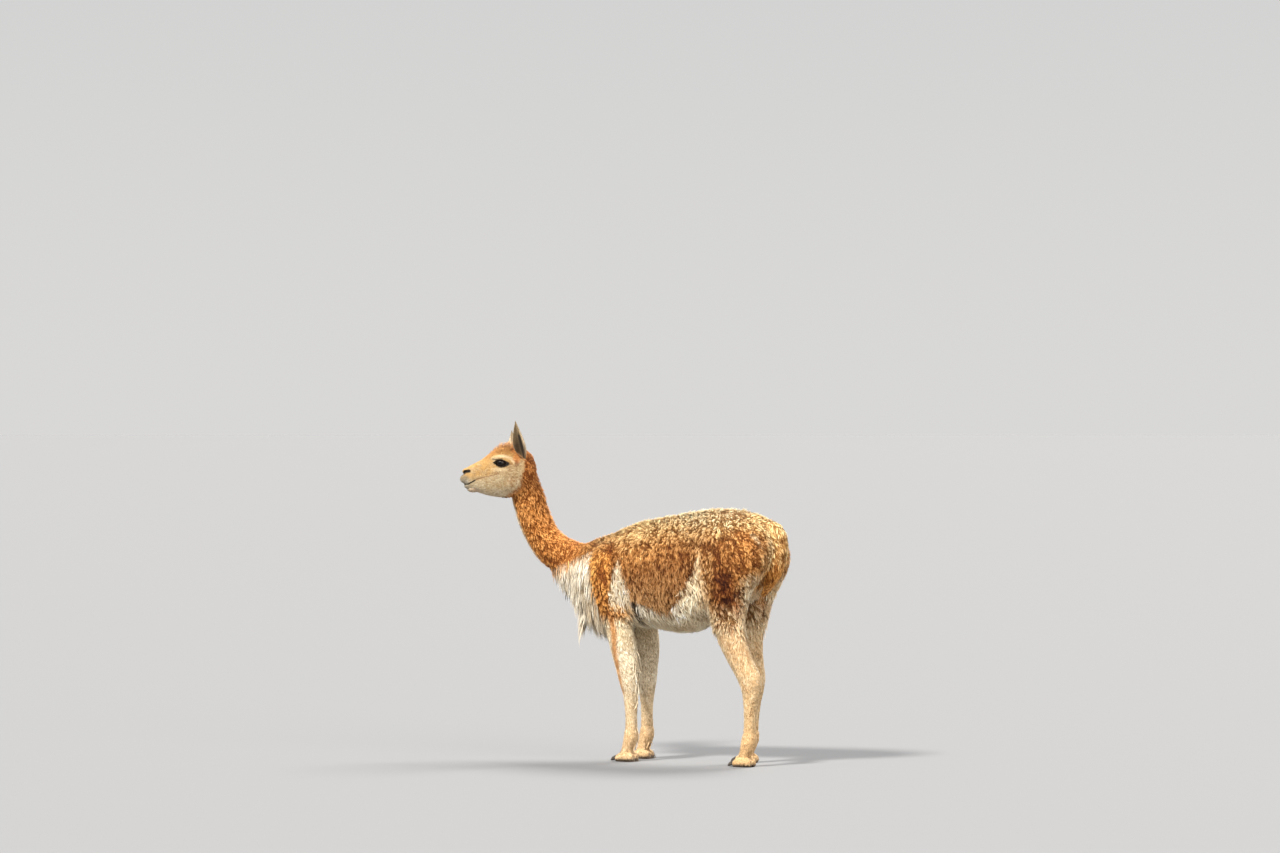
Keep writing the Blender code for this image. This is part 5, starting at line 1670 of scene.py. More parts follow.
class Groomer:
    """Grows the coat's tufts out of the skin.

    A tuft at a clump's edge or in a crease is shorter than one in a clump's middle and has painted shade.
    """

    tries_per_root = 6
    cell_share = 1.22
    least_share = 0.02
    clump_edge = (0.22, 0.30)
    edge_shortening = 0.40
    crease_shortening = 0.35
    crease_sinking = 0.65
    waves = 5.0
    face_start, face_low, face_reach = 0.055, -0.060, 0.30

    def __init__(
        self, skin: bpy.types.Object, markings: Markings, looks: "EarMarkings | None" = None
    ) -> None:
        """Reads the skin once.

        Args:
            skin: The animal's skin.
            markings: Where the body's regions and colours lie.
            looks: The skin's own colours and creases, where they aren't the body's.
        """
        mesh = skin.data
        mesh.calc_loop_triangles()
        self.points = self.read(mesh.vertices, "co")
        self.normals = self.read(mesh.vertices, "normal")
        self.faces = self.read(mesh.loop_triangles, "vertices", np.int64)
        if looks is None:
            self.settle_faces(markings)
        corners = self.points[self.faces]
        cross = np.cross(corners[:, 1] - corners[:, 0], corners[:, 2] - corners[:, 0])
        self.areas = np.linalg.norm(cross, axis=1) / 2
        self.tree = Bench.tree(skin)
        self.looks = looks or markings
        self.unwrap = Unwrap(markings)
        self.rng = np.random.default_rng(SEED)

    @staticmethod
    def read(items: bpy.types.bpy_prop_collection, name: str, kind: type = float) -> Array:
        """Three numbers of each item, one row to an item."""
        values = np.empty(len(items) * 3, dtype=kind)
        items.foreach_get(name, values)
        return values.reshape(-1, 3)

    def settle_faces(self, markings: Markings) -> None:
        """Lists the mesh faces round eyes, lips and nostrils in the same order on every run.

        The Booleans that cut them give the same faces each time, but not in the same order, and
        the roots are drawn from the list.

        Args:
            markings: The markings, which know the head's own frame.
        """
        local = markings.in_head(self.points[self.faces].mean(axis=1))
        near = np.linalg.norm(local, axis=1) < self.face_reach
        chosen = near & (local[:, 0] > self.face_start) & (local[:, 2] > self.face_low)
        faces = self.faces[chosen]
        first = faces.argmin(axis=1)[:, None]
        faces = np.take_along_axis(faces, (first + np.arange(3)) % 3, axis=1)
        self.faces[chosen] = faces[np.lexsort(faces.T[::-1])]

    @staticmethod
    def first_in_cells(places: Array) -> Array:
        """The index of one place out of each cell of size one that holds any."""
        cell = np.floor(places).astype(np.int64)
        key = cell @ np.array([1, 4096, 4096 * 4096])
        return np.unique(key, return_index=True)[1]

    def roots(self, coat: Coat) -> tuple[Array, Array]:
        """Roots spread evenly over the skin where the coat grows.

        Args:
            coat: The kind of hair.

        Returns:
            Places and normals.
        """
        wanted = coat.where(self.points, self.normals)[self.faces].max(axis=1) > self.least_share
        faces, areas = self.faces[wanted], self.areas[wanted]
        if not len(faces):
            return np.zeros((0, 3)), np.zeros((0, 3))
        tries = int(areas.sum() / coat.spacing**2 * self.tries_per_root) + 1
        chosen = self.rng.choice(len(faces), tries, p=areas / areas.sum())
        a, b = self.rng.random((2, tries))
        flip = a + b > 1
        a[flip], b[flip] = 1 - a[flip], 1 - b[flip]
        share = np.stack([1 - a - b, a, b], axis=1)[:, :, None]
        points = (self.points[faces[chosen]] * share).sum(axis=1)
        normals = unit((self.normals[faces[chosen]] * share).sum(axis=1))
        kept = np.sort(self.first_in_cells(points / (coat.spacing * self.cell_share)))
        points, normals = points[kept], normals[kept]
        grows = self.rng.random(len(points)) < coat.where(points, normals)
        return points[grows], normals[grows]

    def clumped(self, coat: Coat, roots: Array, ways: Array) -> tuple[Array, Array, Array]:
        """Which clump each root belongs to, and how near it is to the clump's edge.

        Args:
            coat: The kind of hair.
            roots: The roots.
            ways: The way the hair lies at each.

        Returns:
            Indices of the clumps, their middles, and the distance to the edge.
        """
        squeeze = roots - ways * ((roots * ways).sum(1, keepdims=True) * (1 - 1 / coat.stretch))
        picks = self.first_in_cells(squeeze / coat.clump * 0.9)
        tree = KDTree(len(picks))
        for n, k in enumerate(picks):
            tree.insert(Vector(squeeze[k]), n)
        tree.balance()
        nearest = np.zeros(len(roots), dtype=np.int64)
        edge = np.zeros(len(roots))
        for k, place in enumerate(squeeze):
            found = tree.find_n(Vector(place), 2)
            nearest[k] = found[0][1]
            edge[k] = found[-1][2] - found[0][2]
        return nearest, picks, edge

    def onto_skin(self, points: Array) -> tuple[Array, Array]:
        """The nearest places on the skin, and its normals there."""
        places, normals = np.empty_like(points), np.empty_like(points)
        for k, point in enumerate(points):
            places[k], normals[k] = self.tree.find_nearest(Vector(point))[:2]
        return places, normals

    def grow(self, coat: Coat) -> list[bpy.types.Object]:
        """Grows one kind of hair.

        Args:
            coat: The kind of hair.

        Returns:
            Its pieces, each below the limit of triangles.
        """
        roots, normals = self.roots(coat)
        count = len(roots)
        if not count:
            return []
        rng = self.rng
        ways = along(coat.lie(roots, normals), normals)
        clump, middles, edge = self.clumped(coat, roots, ways)
        own = rng.normal(0, coat.swing, count)
        turn = np.radians(own + rng.normal(0, coat.swing, len(middles))[clump])
        ways = ways * np.cos(turn)[:, None] + np.cross(normals, ways) * np.sin(turn)[:, None]
        length = coat.length(roots, normals) if callable(coat.length) else np.full(count, coat.length)
        low, width = self.clump_edge
        inner = soft(edge, coat.clump * low, coat.clump * width)
        crease = self.looks.creases(roots)
        length = length * rng.uniform(0.8, 1.2, count) * (1 - self.edge_shortening * (1 - inner))
        length = length * (1 - self.crease_shortening * crease)
        spine, up, dark = self.spines(coat, roots, normals, ways, length, crease)
        spine = self.drawn(coat, spine, roots, roots[middles][clump])
        share = np.linspace(0, 1, coat.joints + 1)
        phase = rng.uniform(0, math.tau, count)[:, None]
        wave = (np.sin(phase + share * self.waves) - np.sin(phase)) * coat.wave * length[:, None]
        spine = spine + np.cross(normals, ways)[:, None] * wave[:, :, None]
        bright = rng.normal(1, coat.spread, count) * rng.normal(1, coat.spread, len(middles))[clump]
        # Painted shade: tufts near a clump's edge are darkened by the crack.
        bright = np.clip(bright, 0.4, 1.8) * (1 - coat.crack * (1 - inner))
        # Painted shade: tufts in creases are darkened.
        light = bright[:, None] * (1 - CREASE_SHADE * dark)
        return self.pieces(coat, roots, spine, up, self.looks.colour(roots, normals), light)

    @staticmethod
    def drawn(coat: Coat, spine: Array, roots: Array, middles: Array) -> Array:
        """Draws the tips of tufts together over their clumps' middles.

        Args:
            coat: The kind of hair.
            spine: The tufts' middle lines.
            roots: Their roots.
            middles: The middle of each one's clump.

        Returns:
            The bent middle lines.
        """
        draw = middles + (spine[:, -1] - roots) * 0.9 - spine[:, -1]
        near = np.linalg.norm(draw, axis=1, keepdims=True) < coat.clump * coat.stretch * 1.6
        share = np.linspace(0, 1, coat.joints + 1)[None, :, None]
        return spine + (draw * near)[:, None] * coat.pull * share**1.5

    def spines(
        self, coat: Coat, roots: Array, normals: Array, ways: Array, length: Array, crease: Array
    ) -> tuple[Array, Array, Array]:
        """Middle lines that follow the skin, or hang free of it.

        Args:
            coat: The kind of hair.
            roots: The tufts' roots.
            normals: The skin's normals there.
            ways: The way each tuft leaves its root.
            length: Each tuft's length.
            crease: How far each root is in a crease.

        Returns:
            The lines, the skin's normals under their tips, and how far each joint is in a crease.
        """
        steps = coat.joints
        lift = np.radians(coat.lift) * self.rng.uniform(0.75, 1.25, len(roots))
        dark = [crease]
        spine = [roots - normals * coat.sink]
        heading, up = ways, normals
        rise_from = np.zeros(len(roots))
        for k in range(steps):
            share = (k + 1) / steps
            angle = lift * (1 - 0.8 * (k + 0.5) / steps)
            step = (length / steps)[:, None]
            move = heading * np.cos(angle)[:, None] * step
            rise_from = rise_from + np.sin(angle) * step[:, 0]
            if coat.follow:
                base, up = self.onto_skin(spine[-1] + move)
                heading = along(heading, up)
                dark.append(self.looks.creases(base))
                spine.append(base + up * (rise_from * (1 - self.crease_sinking * dark[-1]))[:, None])
            else:
                hang = np.array([0, 0, -1.0]) * (coat.droop * share * length)[:, None]
                spine.append(spine[-1] + move + normals * np.sin(angle)[:, None] * step + hang)
                dark.append(crease * 0.8)
        return np.stack(spine, axis=1), up, np.stack(dark, axis=1)

    def pieces(
        self, coat: Coat, roots: Array, spine: Array, up: Array, colours: Array, light: Array
    ) -> list[bpy.types.Object]:
        """Splits tufts into pieces below the limit of triangles, and makes each.

        Args:
            coat: The kind of hair.
            roots: The tufts' roots.
            spine: Their middle lines.
            up: The skin's normals.
            colours: Their colours.
            light: Their brightness at each joint and the tip.

        Returns:
            The pieces.
        """
        per_tuft = (coat.joints - 1) * 6 + 3
        parts = math.ceil(len(roots) * per_tuft / PIECE_TRIANGLES)
        order = np.argsort(roots[:, 0], kind="stable")
        made = []
        for k, chosen in enumerate(np.array_split(order, parts)):
            name = coat.name if parts == 1 else f"{coat.name}_{k + 1}"
            part = [values[chosen] for values in (roots, spine, up, colours, light)]
            made.append(self.mesh(coat, name, *part))
        return made

    def mesh(
        self, coat: Coat, name: str, roots: Array, spine: Array, up: Array, colours: Array, light: Array
    ) -> bpy.types.Object:
        """One mesh of tapered, three-sided tufts.

        Args:
            coat: The kind of hair.
            name: The piece's name.
            roots: The tufts' roots.
            spine: Their middle lines.
            up: The skin's normals.
            colours: Their colours.
            light: Their brightness at each joint and the tip.

        Returns:
            The piece, with its colours and its sheet coordinates.
        """
        count, rings = spine.shape[0], coat.joints
        run = np.gradient(spine, axis=1)
        cross = unit(np.cross(up[:, None], run))
        rise = unit(np.cross(run, cross))
        taper = np.linspace(1, 0, rings + 1)[:rings] ** 0.6
        size = coat.width / 2 * self.rng.uniform(0.75, 1.25, count)
        verts = np.empty((count, rings * 3 + 1, 3))
        for k in range(rings):
            half = (size * taper[k])[:, None]
            verts[:, k * 3] = spine[:, k] + cross[:, k] * half
            verts[:, k * 3 + 1] = spine[:, k] - cross[:, k] * half
            verts[:, k * 3 + 2] = spine[:, k] + rise[:, k] * half * coat.ridge
        verts[:, -1] = spine[:, -1]
        verts[:, :, 2] = np.maximum(verts[:, :, 2], 0.0)
        faces = []
        for k in range(rings - 1):
            for a, b in ((0, 2), (2, 1), (1, 0)):
                low_a, low_b, top_a, top_b = k * 3 + a, k * 3 + b, k * 3 + 3 + a, k * 3 + 3 + b
                faces += [(low_a, low_b, top_b), (low_a, top_b, top_a)]
        last = (rings - 1) * 3
        faces += [(last + a, last + b, rings * 3) for a, b in ((0, 2), (2, 1), (1, 0))]
        faces = np.array(faces)
        per_tuft = rings * 3 + 1
        index = (np.arange(count)[:, None, None] * per_tuft + faces[None]).reshape(-1, 3)
        mesh = bpy.data.meshes.new(name)
        mesh.vertices.add(count * per_tuft)
        mesh.vertices.foreach_set("co", verts.reshape(-1))
        mesh.loops.add(len(index) * 3)
        mesh.loops.foreach_set("vertex_index", index.reshape(-1))
        mesh.polygons.add(len(index))
        mesh.polygons.foreach_set("loop_start", np.arange(len(index)) * 3)
        mesh.update(calc_edges=True)
        level = np.concatenate([np.repeat(np.arange(rings) / rings, 3), [1.0]])
        low, high = coat.shade
        joint = np.concatenate([np.repeat(np.arange(rings), 3), [rings]])
        # Painted shade along each tuft, from its root's brightness to its tip's.
        light = light[:, joint] * (low + (high - low) * level**0.7)
        tinted(mesh, (colours[:, None] * warmed(light, coat.warmth)).reshape(-1, 3))
        sheet = self.unwrap.place(roots)
        across = np.concatenate([np.tile([-0.5, 0.5, 0.0], rings), [0.0]])
        patch = np.stack([across, level - 0.5], axis=1) * BAKE_PATCH
        uv = (sheet[:, None] + patch[None]).reshape(-1, 2)
        bake = mesh.uv_layers.new(name="OFBake")
        bake.data.foreach_set("uv", uv[index.reshape(-1)].reshape(-1))
        outward = np.empty_like(verts)
        for n, way in enumerate((cross[:, :rings], -cross[:, :rings], rise[:, :rings])):
            outward[:, n:-1:3] = way
        outward[:, -1] = rise[:, -1]
        ground = unit(up + np.array([0, 0, coat.upward]))
        outward = unit(outward * (1 - coat.plush) + ground[:, None] * coat.plush)
        mesh.shade_smooth()
        shading = mesh.attributes.new("custom_normal", "FLOAT_VECTOR", "POINT")
        shading.data.foreach_set("vector", outward.reshape(-1))
        made = bpy.data.objects.new(name, mesh)
        bpy.context.scene.collection.objects.link(made)
        LOG.info("%s: %d tufts, %d triangles", name, count, len(index))
        return made


def tinted(mesh: bpy.types.Mesh, colours: Array) -> None:
    """Writes a colour for each vertex into the coat's attribute."""
    rgba = np.ones((len(colours), 4))
    rgba[:, :3] = np.clip(colours, 0, 1)
    layer = mesh.color_attributes.new("coat", "FLOAT_COLOR", "POINT")
    layer.data.foreach_set("color", rgba.reshape(-1))


@dataclass(frozen=True)
class Wardrobe:
    """The kinds of hair on the animal and where each grows."""

    markings: Markings
    body_lie: tuple = (0.45, 0.0, -0.89)
    lock_lie: tuple = (0.30, 0.0, -0.95)
    tip_place: tuple = (-0.405, -0.060, 0.520)
    tip_halves: tuple = (0.024, 0.030, 0.024)

    def leg_share(self, points: Array) -> Array:
        """How far each place is on a leg below the fleece."""
        x, _, z = points.T
        fore = (1 - soft(z, 0.500, 0.05)) * (1 - soft(x, -0.125, 0.03))
        hind = soft(x, 0.085, 0.03) * (1 - soft(z, 0.455 + (x - 0.09) * 0.25, 0.05))
        return np.maximum(fore, hind)

    def flank_share(self, points: Array) -> Array:
        """How far each place is on the flank, where the brown strands are long."""
        x, _, z = points.T
        low = np.interp(x, *self.markings.brown_edge)
        front = window(x, -0.20, 0.085, 0.08)
        return front * window(z, 0.40, 0.745, 0.10) * soft(z, low - 0.01, 0.02)

    def belly_share(self, points: Array, normals: Array) -> Array:
        """How far each place is on the cream belly and its fringe."""
        x, _, z = points.T
        fold = self.markings.fold_share(points)
        under = soft(-normals[:, 2], 0.5, 0.3) * window(x, -0.34, 0.15, 0.04)
        return np.maximum(fold, under * (1 - soft(z, 0.60, 0.04)))

    def bare_share(self, points: Array) -> Array:
        """How far each place is bare: eyes, nostrils, the mouth's line and the soles."""
        head = self.markings.head
        local = self.markings.in_head(points)
        hx, _, hz = local.T
        flat = np.stack([hx, hz], axis=1)
        bare = (1 - soft(line_distance(flat, head.mouth[:5]), 0.0030, 0.001)) * soft(hx, 0.150, 0.01)
        for way in (1, -1):
            away = line_distance(local, head.nostril_line(way))
            bare = np.maximum(bare, 1 - soft(away, 0.0062, 0.001))
        for side in Side:
            _, level, rise = (np.array(way) for way in head.eye_axes(side))
            away = local - np.array(head.eye_centre(side))
            almond = np.sqrt(((away @ level) / 0.0235) ** 2 + ((away @ rise) / 0.0135) ** 2)
            near = np.linalg.norm(away, axis=1) < 0.034
            bare = np.maximum(bare, (1 - soft(almond, 1.0, 0.1)) * near)
        return np.maximum(bare, 1 - soft(points[:, 2], 0.012, 0.004))

    def lie_body(self, points: Array, normals: Array) -> Array:
        """The lie over trunk, neck and legs: down and back."""
        ways = np.tile(np.array(self.body_lie), (len(points), 1))
        low = 1 - soft(points[:, 2], 0.50, 0.10)
        ways += low[:, None] * (np.array([0.12, 0, -1.0]) - ways)
        ways[:, 0] += 0.45 * fractal_noise(points, 9, 41)
        ways[:, 1] += 0.40 * fractal_noise(points, 11, 47)
        return unit(ways)

    def lie_locks(self, points: Array, normals: Array) -> Array:
        """The lie of the long locks: down, a little back."""
        ways = np.tile(np.array(self.lock_lie), (len(points), 1))
        ways[:, 0] += 0.22 * fractal_noise(points, 14, 53)
        ways[:, 1] += 0.12 * fractal_noise(points, 14, 59)
        return unit(ways)

    def lie_bib(self, points: Array, normals: Array) -> Array:
        """The lie of the breast's locks: down."""
        ways = np.tile(np.array([0.10, 0.0, -1.0]), (len(points), 1))
        ways[:, 1] += 0.15 * fractal_noise(points, 14, 61)
        return unit(ways)

    def lie_tip(self, points: Array, normals: Array) -> Array:
        """The lie of the lock under the breast: down and forward."""
        return np.tile(unit(np.array([-0.55, -0.10, -0.85])), (len(points), 1))

    def lie_head(self, points: Array, normals: Array) -> Array:
        """The lie on the face: from the muzzle back, and down over the cheeks."""
        turn = np.array(self.markings.head.matrix())[:3, :3]
        local = self.markings.in_head(points)
        ways = np.tile(np.array([-1.0, 0.0, -0.12]), (len(points), 1))
        ways[:, 2] -= 0.5 * (1 - soft(local[:, 2], 0.0, 0.06)) * (1 - soft(local[:, 0], 0.09, 0.06))
        return unit(ways @ turn.T)

    def lie_forehead(self, points: Array, normals: Array) -> Array:
        """The lie of the forehead's tuft: back and up between the ears."""
        turn = np.array(self.markings.head.matrix())[:3, :3]
        ways = np.tile(np.array([-1.0, 0.0, 0.9]), (len(points), 1))
        ways[:, 1] += 0.8 * fractal_noise(points, 60, 67)
        return unit(ways @ turn.T)

    def fleece_length(self, points: Array, normals: Array) -> Array:
        """The fleece's length: shorter on the neck, and a little on the rump."""
        neck = self.markings.neck_share(points)
        rump = soft(points[:, 0], 0.20, 0.10)
        body = 0.023 + 0.004 * fractal_noise(points, 22, 71) - 0.003 * rump
        below = soft(-self.markings.above_jaw(self.markings.in_head(points)), 0.035, 0.09)
        rear = soft(normals @ np.array([0.87, 0.5, 0]), 0.2, 0.6) * window(points[:, 2], 0.86, 1.04, 0.05)
        wool = 0.0080 + 0.0085 * below + 0.007 * rear + 0.002 * fractal_noise(points, 30, 73)
        return body * (1 - neck) + neck * wool

    def bib_length(self, points: Array, normals: Array) -> Array:
        """The breast locks' length: short at the neck, longest low down."""
        low = 1 - soft(points[:, 2], 0.62, 0.20)
        return 0.030 + 0.034 * low

    def crown_length(self, points: Array, normals: Array) -> Array:
        """The forehead tuft's length: longest in its middle."""
        local = self.markings.in_head(points)
        return 0.009 + 0.016 * blob(local, (0.050, 0, 0.082), (0.045, 0.032, 0.026), 0.9)

    def tail_length(self, points: Array, normals: Array) -> Array:
        """The tail's hair length: like the rump's at its root, longer at the tip."""
        return 0.024 + 0.024 * (1 - soft(points[:, 2], 0.68, 0.12))

    def leg_length(self, points: Array, normals: Array) -> Array:
        """The legs' hair length: shorter towards the feet."""
        return 0.0085 + 0.0075 * soft(points[:, 2], 0.34, 0.30)

    def coats(self) -> list[Coat]:
        """Every kind of hair on the skin."""
        marks = self.markings

        def fleece(points: Array, normals: Array) -> Array:
            """Where the fleece grows."""
            share = (1 - marks.head_share(points)) * (1 - marks.bib_share(points))
            share *= (1 - self.leg_share(points)) * (1 - marks.tail_share(points))
            share *= 1 - self.belly_share(points, normals)
            share *= (1 - 0.85 * marks.patch_share(points)) * (1 - 0.8 * marks.gap_share(points))
            return share * (1 - 0.55 * self.flank_share(points)) * (1 - marks.neck_share(points))

        def neck(points: Array, normals: Array) -> Array:
            """Where the neck's short wool grows."""
            share = (1 - marks.head_share(points)) * (1 - marks.bib_share(points))
            return share * marks.neck_share(points)

        def flank(points: Array, normals: Array) -> Array:
            """Where the flank's strands grow."""
            share = self.flank_share(points) * (1 - marks.patch_share(points))
            return share * (1 - marks.fold_share(points))

        def belly(points: Array, normals: Array) -> Array:
            """Where the belly's hair grows."""
            share = self.belly_share(points, normals) * (1 - marks.bib_share(points))
            return share * (1 - 0.7 * marks.gap_share(points))

        def legs(points: Array, normals: Array) -> Array:
            """Where the legs' short hair grows."""
            share = self.leg_share(points) * (1 - self.bare_share(points))
            return share * (1 - marks.bib_share(points) * soft(points[:, 2], 0.46, 0.03))

        def face(points: Array, normals: Array) -> Array:
            """Where the face's short hair grows."""
            return marks.head_share(points) * (1 - self.bare_share(points))

        def forehead(points: Array, normals: Array) -> Array:
            """Where the forehead's tuft grows."""
            local = marks.in_head(points)
            crown = blob(local, (0.050, 0, 0.084), (0.062, 0.044, 0.030), 1.0)
            return crown * marks.head_share(points)

        def rear(points: Array, normals: Array) -> Array:
            """Where the wisps behind the thighs grow."""
            x, side, z = mirrored(points).T
            inner = (1 - soft(side, 0.135, 0.03)) * (1 - marks.tail_share(points))
            return soft(x, 0.235, 0.03) * window(z, 0.47, 0.665, 0.04) * inner

        def tip(points: Array, normals: Array) -> Array:
            """Where the lock under the breast grows."""
            return blob(points, self.tip_place, self.tip_halves)

        def only(share: Callable[[Array], Array]) -> Field:
            """A field that reads the places alone."""
            return lambda points, normals: share(points)

        return [
            Coat("fleece", "fleece", fleece, self.lie_body, 0.0032, self.fleece_length, 0.0038, lift=58,
                 clump=0.0150, stretch=1.3, pull=0.55, joints=2, crack=0.56, spread=0.07,
                 shade=(0.68, 1.14)),
            Coat("neck_wool", "fleece", neck, self.lie_body, 0.0032, self.fleece_length, 0.0034, lift=48,
                 clump=0.0110, stretch=1.4, pull=0.50, joints=2, crack=0.60, spread=0.09,
                 shade=(0.62, 1.14)),
            Coat("flank_strands", "fleece", flank, self.lie_locks, 0.0038, 0.034, 0.0034, lift=30,
                 clump=0.0100, stretch=4.0, pull=0.65, swing=9, crack=0.74, spread=0.18,
                 shade=(0.56, 1.22)),
            Coat("breast_locks", "pale_hair", only(marks.bib_share), self.lie_bib, 0.0042,
                 self.bib_length, 0.0044, lift=26, droop=0.30, clump=0.017, stretch=3.0, pull=0.5,
                 joints=4, follow=False, crack=0.50, spread=0.13, shade=(0.72, 1.10), warmth=0.7,
                 plush=0.6),
            # This lock runs from a bright root to painted shade at its end.
            Coat("breast_tip", "pale_hair", tip, self.lie_tip, 0.0034, 0.085, 0.0050, lift=85,
                 droop=0.30, clump=0.08, stretch=1.0, pull=0.75, joints=5, follow=False, crack=0.1,
                 shade=(1.30, 0.70), swing=4, warmth=0.2, upward=1.0),
            Coat("patch_locks", "pale_hair", only(marks.patch_share), self.lie_locks, 0.0044,
                 0.044, 0.0042, lift=20, clump=0.014, stretch=3.5, pull=0.5, joints=4, crack=0.45,
                 shade=(0.72, 1.08), warmth=0.8),
            Coat("belly_hair", "pale_hair", belly, self.lie_locks, 0.0044, 0.042, 0.0040, lift=24,
                 droop=0.25, clump=0.018, stretch=2.4, pull=0.45, joints=3, crack=0.40,
                 shade=(0.78, 1.12), warmth=0.7, upward=0.4),
            Coat("thigh_wisps", "pale_hair", rear, self.lie_locks, 0.0044, 0.038, 0.0036, lift=30,
                 clump=0.016, stretch=2.5, pull=0.55, joints=4, crack=0.45, warmth=0.8, upward=0.4),
            Coat("leg_hair", "pale_hair", legs, self.lie_body, 0.0038, self.leg_length, 0.0036, lift=15,
                 clump=0.013, stretch=2.0, pull=0.35, joints=2, crack=0.42, shade=(0.70, 1.00),
                 sink=0.001, warmth=0.8, plush=0.8),
            Coat("face_hair", "face_fur", face, self.lie_head, 0.0023, 0.0070, 0.0018, lift=8,
                 clump=0.010, stretch=2.0, pull=0.35, joints=2, crack=0.36, shade=(0.82, 1.08),
                 spread=0.12, sink=0.0006, plush=0.8, ridge=0.35),
            Coat("forehead_tuft", "face_fur", forehead, self.lie_forehead, 0.0038,
                 self.crown_length, 0.0022, lift=66, swing=20, clump=0.0095, stretch=1.0, pull=0.6,
                 joints=3, crack=0.4, spread=0.22, shade=(0.55, 1.18), sink=0.001),
            Coat("tail_locks", "fleece", only(marks.tail_share), self.lie_locks, 0.0044,
                 self.tail_length, 0.0044, lift=22, droop=0.2, clump=0.015, stretch=2.5, pull=0.6,
                 crack=0.55, spread=0.14),
        ]


@dataclass(frozen=True)
class Sun:
    """A wide, soft light from one direction.

    Args:
        name: The light's name.
        way: The way towards the light.
        power: Its strength.
        spread: Its width in the sky, in degrees.
        colour: Its colour.
    """

    name: str
    way: tuple
    power: float
    spread: float
    colour: tuple

    def hang(self) -> None:
        """Makes the light."""
        lamp = bpy.data.lights.new(self.name, "SUN")
        lamp.angle = math.radians(self.spread)
        lamp.energy = self.power
        lamp.color = self.colour
        made = bpy.data.objects.new(self.name, lamp)
        made.rotation_euler = Vector(self.way).to_track_quat("Z", "Y").to_euler()
        bpy.context.scene.collection.objects.link(made)


@dataclass(frozen=True)
class Studio:
    """Floor, lights and the camera at the photograph's angle.

    Args:
        shift: The step from the animal's own frame to the scene's.
        azimuth: How far behind the animal's left side the camera stands.
        height: The camera's height.
        distance: Its distance from the animal.
        slide: Its step to the right.
        lens: Its focal length in millimetres.
        floor_colour: The floor's colour.
        horizon: The sky's colour at the horizon.
        zenith: The sky's colour above.
        suns: The lights.
    """

    shift: Vector
    azimuth: float = math.radians(30)
    height: float = 1.1807
    distance: float = 15.0
    slide: float = -0.186
    lens: float = 120.0
    floor_colour: tuple = (0.1775, 0.1805, 0.1870, 1)
    horizon: tuple = (0.69, 0.685, 0.675, 1)
    zenith: tuple = (0.54, 0.55, 0.57, 1)
    suns: tuple = (
        Sun("key", (-0.20, -0.82, 0.92), 5.9, 10, (1.0, 0.965, 0.90)),
        Sun("rim", (0.10, 0.62, 1.00), 4.3, 25, (1.0, 0.97, 0.92)),
        Sun("fill", (0.90, -0.30, 0.45), 1.4, 40, (1.0, 0.96, 0.90)),
    )

    def build(self) -> None:
        """Sets floor, world, lights and camera."""
        self.floor()
        self.world()
        for sun in self.suns:
            sun.hang()
        bpy.context.scene.view_settings.view_transform = "Standard"
        self.camera()

    def floor(self) -> None:
        """A wide pale floor."""
        Bench.clear_selection()
        bpy.ops.mesh.primitive_circle_add(vertices=96, radius=600, fill_type="NGON")
        floor = Bench.named("floor")
        paint = Shader("floor_paint", {"Base Color": self.floor_colour, "Roughness": 0.9})
        floor.data.materials.append(paint.material)

    def world(self) -> None:
        """A plain light sky."""
        world = bpy.data.worlds.new("studio")
        bpy.context.scene.world = world
        world.use_nodes = True
        nodes, links = world.node_tree.nodes, world.node_tree.links
        sky = nodes["Background"]
        sky.inputs["Strength"].default_value = 1.0
        place = nodes.new("ShaderNodeTexCoord")
        parts = nodes.new("ShaderNodeSeparateXYZ")
        links.new(place.outputs["Generated"], parts.inputs["Vector"])
        ramp = nodes.new("ShaderNodeValToRGB")
        ramp.color_ramp.interpolation = "EASE"
        ramp.color_ramp.elements[0].color = self.horizon
        ramp.color_ramp.elements[1].position = 0.30
        ramp.color_ramp.elements[1].color = self.zenith
        links.new(parts.outputs["Z"], ramp.inputs["Fac"])
        links.new(ramp.outputs["Color"], sky.inputs["Color"])

    def camera(self) -> None:
        """The camera, level, with a long lens."""
        back = Vector((math.sin(self.azimuth), -math.cos(self.azimuth), 0))
        right = Vector((math.cos(self.azimuth), math.sin(self.azimuth), 0))
        lens = bpy.data.cameras.new("camera")
        lens.lens = self.lens
        lens.sensor_width = 36.0
        lens.clip_end = 1500
        made = bpy.data.objects.new("camera", lens)
        made.location = self.shift + back * self.distance + right * self.slide + Z * self.height
        made.rotation_euler = back.to_track_quat("Z", "Y").to_euler()
        bpy.context.scene.collection.objects.link(made)
        bpy.context.scene.camera = made


@dataclass(frozen=True)
class EarMarkings:
    """The ear's colours in place of the body's."""

    colour: Callable[[Array, Array], Array]

    def creases(self, points: Array) -> Array:
        """An ear has no creases."""
        return np.zeros(len(points))


